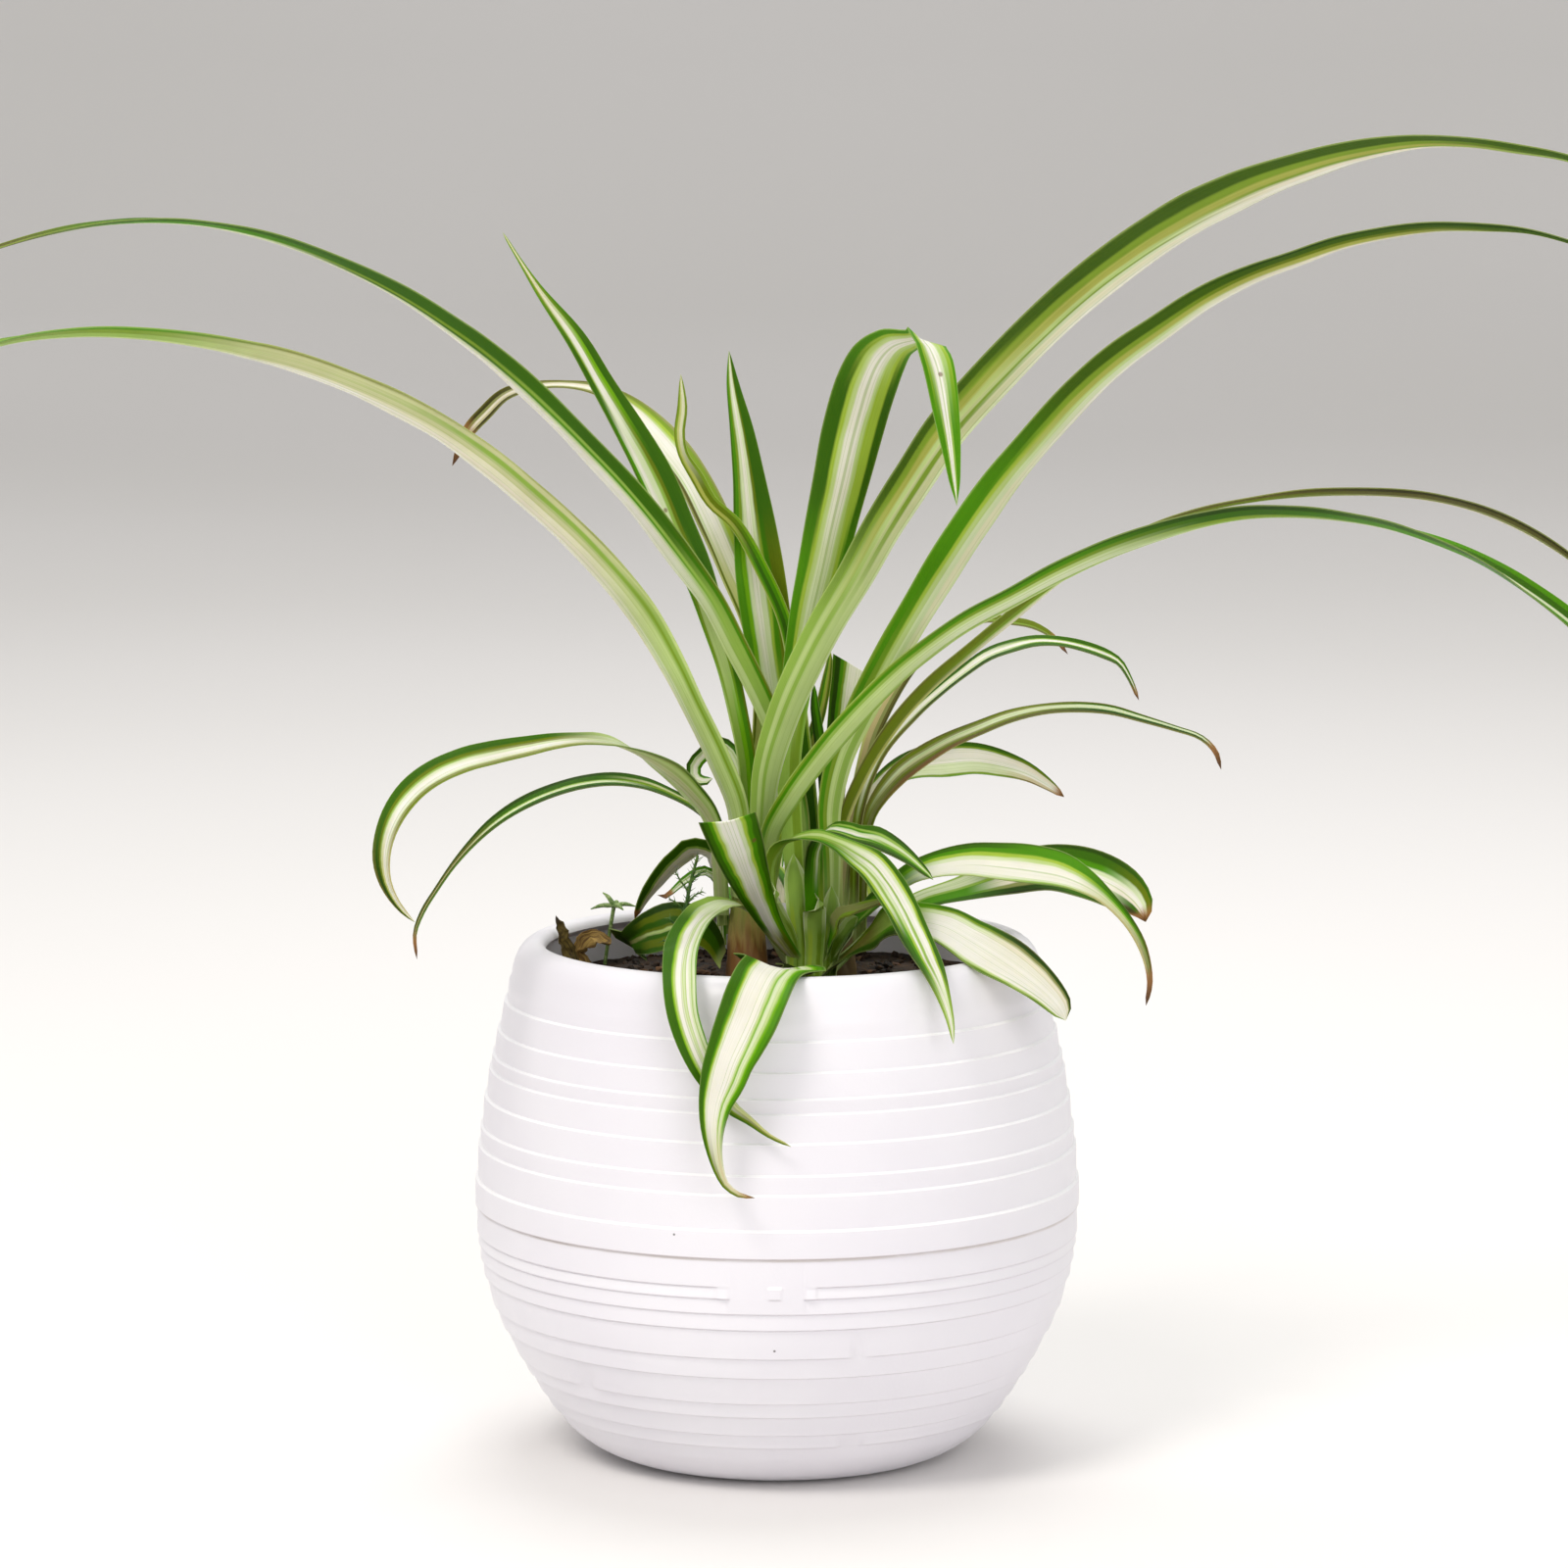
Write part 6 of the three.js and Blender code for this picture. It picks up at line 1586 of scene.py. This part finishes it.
# %% Clubmoss sprig
SPRIG_STEM = [[-21, 100.1, -2.4], [-20.2, 112, -1.2], [-19, 121, 0], [-17, 129, 0.4]]
SPRIG_WIDTHS = [1.1, 1.0, 0.9, 0.8, 0.6]
BRANCHLETS = [
    [[-20.6, 108, -1.6], [-22.4, 109.8, -1.8], [-24.6, 110.6, -2]],
    [[-20.2, 111.6, -1.2], [-21.8, 114, -1.4], [-23.4, 115.6, -1.2]],
    [[-19.6, 116.6, -0.5], [-21.6, 118.8, -0.8], [-23.2, 119.6, -0.6]],
    [[-19.3, 118.6, -0.3], [-17.6, 120.4, -0.8], [-15.9, 121.2, -1]],
    [[-18.9, 121, 0], [-20.6, 123.4, 0.2], [-21.8, 125.4, 0.2]],
    [[-18.4, 123.2, 0.1], [-16.8, 125, -0.3], [-15.2, 125.6, -0.4]],
]
BRANCHLET_WIDTHS = [0.55, 0.4, 0.3]
NEEDLE_STEP = 0.4
NEEDLE_WIDTH = 0.3
NEEDLE_TURN = 2.4
NEEDLE_LEAN = 0.9


def add_needles(bm, dice, line, start, length):
    count = int(line.length * (1 - start) / NEEDLE_STEP)
    for i in range(count):
        place = line.place_of(start + (1 - start) * (i + 0.5) / count)
        foot, heading = line.at(place), line.heading(place)
        side = heading.orthogonal().normalized()
        side.rotate(Matrix.Rotation(i * NEEDLE_TURN + dice.uniform(-0.3, 0.3), 3, heading))
        reach = (side + heading * NEEDLE_LEAN).normalized() * length * dice.uniform(0.75, 1.15)
        add_spike(bm, foot, foot + reach, NEEDLE_WIDTH, sides=3)


def sprig_mesh():
    dice = random.Random(12)
    bm = bmesh.new()
    stem = add_stalk(bm, [true_point(p) for p in SPRIG_STEM], SPRIG_WIDTHS, rows=24)
    add_needles(bm, dice, stem, 0.35, 1.9)
    for path in BRANCHLETS:
        branch = add_stalk(bm, [true_point(p) for p in path], BRANCHLET_WIDTHS, 6, 8)
        add_needles(bm, dice, branch, 0.1, 1.3)
    return to_metres(bm)


finish_piece(sprig_mesh(), "clubmoss_stem_and_needles", NEEDLE_GREEN, ["clubmoss_sprig"])
print("branchlets:", len(BRANCHLETS))

# %% Seedling
SEEDLING_STEM = [[-37, 105.5, 32], [-36, 112, 31], [-35, 118, 30]]
SEEDLING_STEM_WIDTHS = [0.8, 0.8, 0.9]
SEEDLING_REACH = [[-5, -0.6, -1], [4.6, 0, -1.5], [-2.4, 3, 1], [2, -0.8, -3], [1, 0.8, 4]]
SEEDLING_WIDTHS = [0.5, 1.15, 0.9, 0.25]
SEEDLING_ARCH = 0.5


def seedling_mesh():
    bm = bmesh.new()
    add_stalk(bm, [true_point(p) for p in SEEDLING_STEM], SEEDLING_STEM_WIDTHS, 8, 12)
    head = SEEDLING_STEM[-1]
    for reach in SEEDLING_REACH:
        root = [a - b * 0.1 for a, b in zip(head, reach)]
        middle = [a + b * 0.5 for a, b in zip(head, reach)]
        middle[1] += SEEDLING_ARCH
        end = [a + b for a, b in zip(head, reach)]
        add_stalk(bm, [true_point(p) for p in (root, middle, end)], SEEDLING_WIDTHS, 8, 12)
    return to_metres(bm)


finish_piece(seedling_mesh(), "seedling_star", SEEDLING_GREEN, ["star_seedling"])
print("seedling leaves:", len(SEEDLING_REACH))

# %% Moss cushions
MOSS_SPOTS = [
    (-37, -2, 3.4), (-41, 4, 2.6), (-34, -9, 2.2), (-14, -6, 1.6), (-45, 10, 2.0),
    (30, -30, 2.6), (38, -12, 2.0), (8, 40, 3.2), (-22, 38, 2.6), (-18, 2, 2.4),
    (-13, 8, 1.8), (-1, -3, 1.5), (20, 4, 2.2),
]
SPIKES_PER_CUSHION = 110
SPIKE_WIDTH = 0.5


def moss_mesh():
    dice = random.Random(21)
    bm = bmesh.new()
    for x, y, reach in MOSS_SPOTS:
        for _ in range(SPIKES_PER_CUSHION):
            radius, angle = disc_spot(dice, reach)
            px, py = x + radius * math.cos(angle), y + radius * math.sin(angle)
            foot = Vector((px, py, SOIL_TOP + lumps(px, py) - 0.2))
            lean = Vector((math.cos(angle), math.sin(angle), 0)) * dice.uniform(0, 0.9)
            height = 0.9 + 0.9 * (1 - radius / reach)
            add_spike(bm, foot, foot + (Vector((0, 0, 1)) + lean) * height, SPIKE_WIDTH)
    return to_metres(bm)


finish_piece(moss_mesh(), "moss_cushions", MOSS_GREEN)
print("moss spikes:", len(MOSS_SPOTS) * SPIKES_PER_CUSHION)

# %% [markdown]
# ## Dry leaves
#
# Two shrivelled scraps stand on the soil. A dead leaf is the same blade as a live one, only
# brown, papery and crumpled along its length, so the blade builder is used again with a
# crumpling noise on top.

# %% Dry leaves
DRY_LEAVES = {
    "dry_leaf_curled": {
        "fold": 0.5,
        "face": [[0.2, -0.6, 0.8], [0.3, -0.7, 0.6], [0.5, -0.6, 0.5]],
        "path": [
            [-40.6, 105, 22, 2.4], [-42.6, 107.8, 21, 3.2], [-41, 110.6, 20, 3.4],
            [-38.4, 111.4, 19, 2.8], [-35.8, 110, 18, 1.2],
        ],
    },
    "dry_scrap_left": {
        "fold": 0.5,
        "face": [[0.8, -0.5, 0.2], [0.5, -0.8, 0.1], [0.4, -0.9, 0.2]],
        "path": [
            [-43, 102.9, 12, 2.4], [-44.6, 108, 11, 3], [-45.8, 110.6, 10, 2.6],
            [-46.2, 113.2, 9, 2], [-47.2, 115.8, 8.6, 0.9],
        ],
    },
}


def dry_material(name, low, high):
    nodes = Nodes(name)
    uv = nodes.add("ShaderNodeUVMap", {"uv_map": "blade"}).outputs[0]
    ribs = nodes.noise(nodes.stretch(uv, (16.0, 2.5, 1.0)), 1.0, 4.0)
    spots = nodes.noise(object_place(nodes), 420.0, 3.0)
    paint = nodes.mix(nodes.span(ribs, 0.35, 0.66), color(low), color(high))
    paint = nodes.mix(nodes.span(spots, 0.56, 0.7, 0.0, 0.8), paint, color("#2a1a0e"))
    nodes.bump(nodes.math("ADD", ribs, spots), 0.6, 0.0005)
    return nodes.surface(Base_Color=paint, Roughness=nodes.span(ribs, 0.3, 0.7, 0.7, 0.9))


CRUMPLE_LENGTH = 1.6
CRUMPLE_DEPTH = 0.75
DRY_COLUMNS = 8
DRY_ROW_LENGTH = 0.35


def crumple(bm, seed):
    for vert in bm.verts:
        spot = vert.co / MM / CRUMPLE_LENGTH
        offset = [noise.noise(spot + Vector((seed, 0, k * 9.1))) for k in range(3)]
        vert.co += Vector(offset) * CRUMPLE_DEPTH * MM
    return bm


DRY_PAINT = {"dry_leaf_curled": ("#5e4118", "#a88a48"), "dry_scrap_left": ("#3e3010", "#7d6a30")}
for seed, (name, leaf) in enumerate(DRY_LEAVES.items(), 1):
    bm = crumple(blade_mesh(leaf, seed, DRY_COLUMNS, DRY_ROW_LENGTH), seed)
    finish_piece(bm, name + "_papery", dry_material(name + "_paper", *DRY_PAINT[name]),
                 [name])
print("dry leaves:", len(DRY_LEAVES))

# %% [markdown]
# ## Floor and light
#
# The plant stands on a plain pale sheet that curves up behind it, as in a product studio.
# One big soft light from the left and in front gives the wide highlight on the pot and the
# short shadows of the hanging leaves. A weaker one from the right and a soft one from above
# keep the shadows open, and a pale surrounding lights the back.

# %% Floor
FLOOR_WIDTH = 9.0
SWEEP = [(-4.5, 0.0), (3.0, 0.0), (3.5, 0.06), (3.9, 0.25), (4.15, 0.6), (4.2, 1.0), (4.2, 3.0)]


def sweep_mesh():
    bm = bmesh.new()
    verts = [bm.verts.new((-FLOOR_WIDTH / 2, y, z)) for y, z in SWEEP]
    edges = [bm.edges.new(pair) for pair in zip(verts[:-1], verts[1:])]
    wide = bmesh.ops.extrude_edge_only(bm, edges=edges)["geom"]
    moved = [item for item in wide if isinstance(item, bmesh.types.BMVert)]
    bmesh.ops.translate(bm, verts=moved, vec=(FLOOR_WIDTH, 0, 0))
    bmesh.ops.recalc_face_normals(bm, faces=bm.faces)
    return bm


def sheet_material():
    nodes = Nodes("pale_studio_sheet")
    cloud = nodes.noise(object_place(nodes), 1.2, 1.0)
    paint = nodes.mix(nodes.span(cloud, 0.2, 0.8), color("#e8e6e4"), color("#eceae9"))
    return nodes.surface(Base_Color=paint, Roughness=0.85)


floor_mesh = bpy.data.meshes.new("studio_sheet")
sweep = sweep_mesh()
sweep.to_mesh(floor_mesh)
sweep.free()
floor_mesh.shade_smooth()
floor_mesh.materials.append(sheet_material())
floor = bpy.data.objects.new("studio_sheet", floor_mesh)
bpy.context.scene.collection.objects.link(floor)
floor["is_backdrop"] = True
print("floor width:", FLOOR_WIDTH)


# %% Lights
def area_light(name, place, aim, size, power, tint):
    data = bpy.data.lights.new(name, "AREA")
    data.shape = "DISK"
    data.size = size
    data.energy = power
    data.color = color(tint)[:3]
    lamp = bpy.data.objects.new(name, data)
    lamp.location = place
    lamp.rotation_euler = (Vector(aim) - Vector(place)).to_track_quat("-Z", "Y").to_euler()
    bpy.context.scene.collection.objects.link(lamp)


PLANT_MIDDLE = (0, 0, 0.12)
SOIL_MIDDLE = (0, 0, 0.1)
area_light("key", (-0.7, -0.95, 1.45), PLANT_MIDDLE, 0.6, 12.5, "#fffaf4")
area_light("fill", (0.6, -1.5, 0.75), PLANT_MIDDLE, 1.0, 7.4, "#fffdfa")
area_light("top", (0.1, 0.5, 1.6), SOIL_MIDDLE, 1.2, 14, "#ffffff")

world = bpy.data.worlds.new("pale_surrounding")
world.use_nodes = True
surrounding = world.node_tree.nodes["Background"]
surrounding.inputs["Color"].default_value = color("#f5f4f2")
surrounding.inputs["Strength"].default_value = 0.66
bpy.context.scene.world = world
bpy.context.scene.view_settings.view_transform = "Standard"
print("lights: 3 and a pale surrounding")

# %% [markdown]
# ## Size
#
# The dressed plant is meant to stay as big as its solids. Both boxes are printed, so that
# they can be compared.

# %% Sizes and finish
DRESSED_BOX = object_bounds()
boxes = {"cad": [list(corner) for corner in CAD_BOX],
         "visual": [list(corner) for corner in DRESSED_BOX]}
for name, corners in boxes.items():
    print(name, [[round(v, 4) for v in corner] for corner in corners])
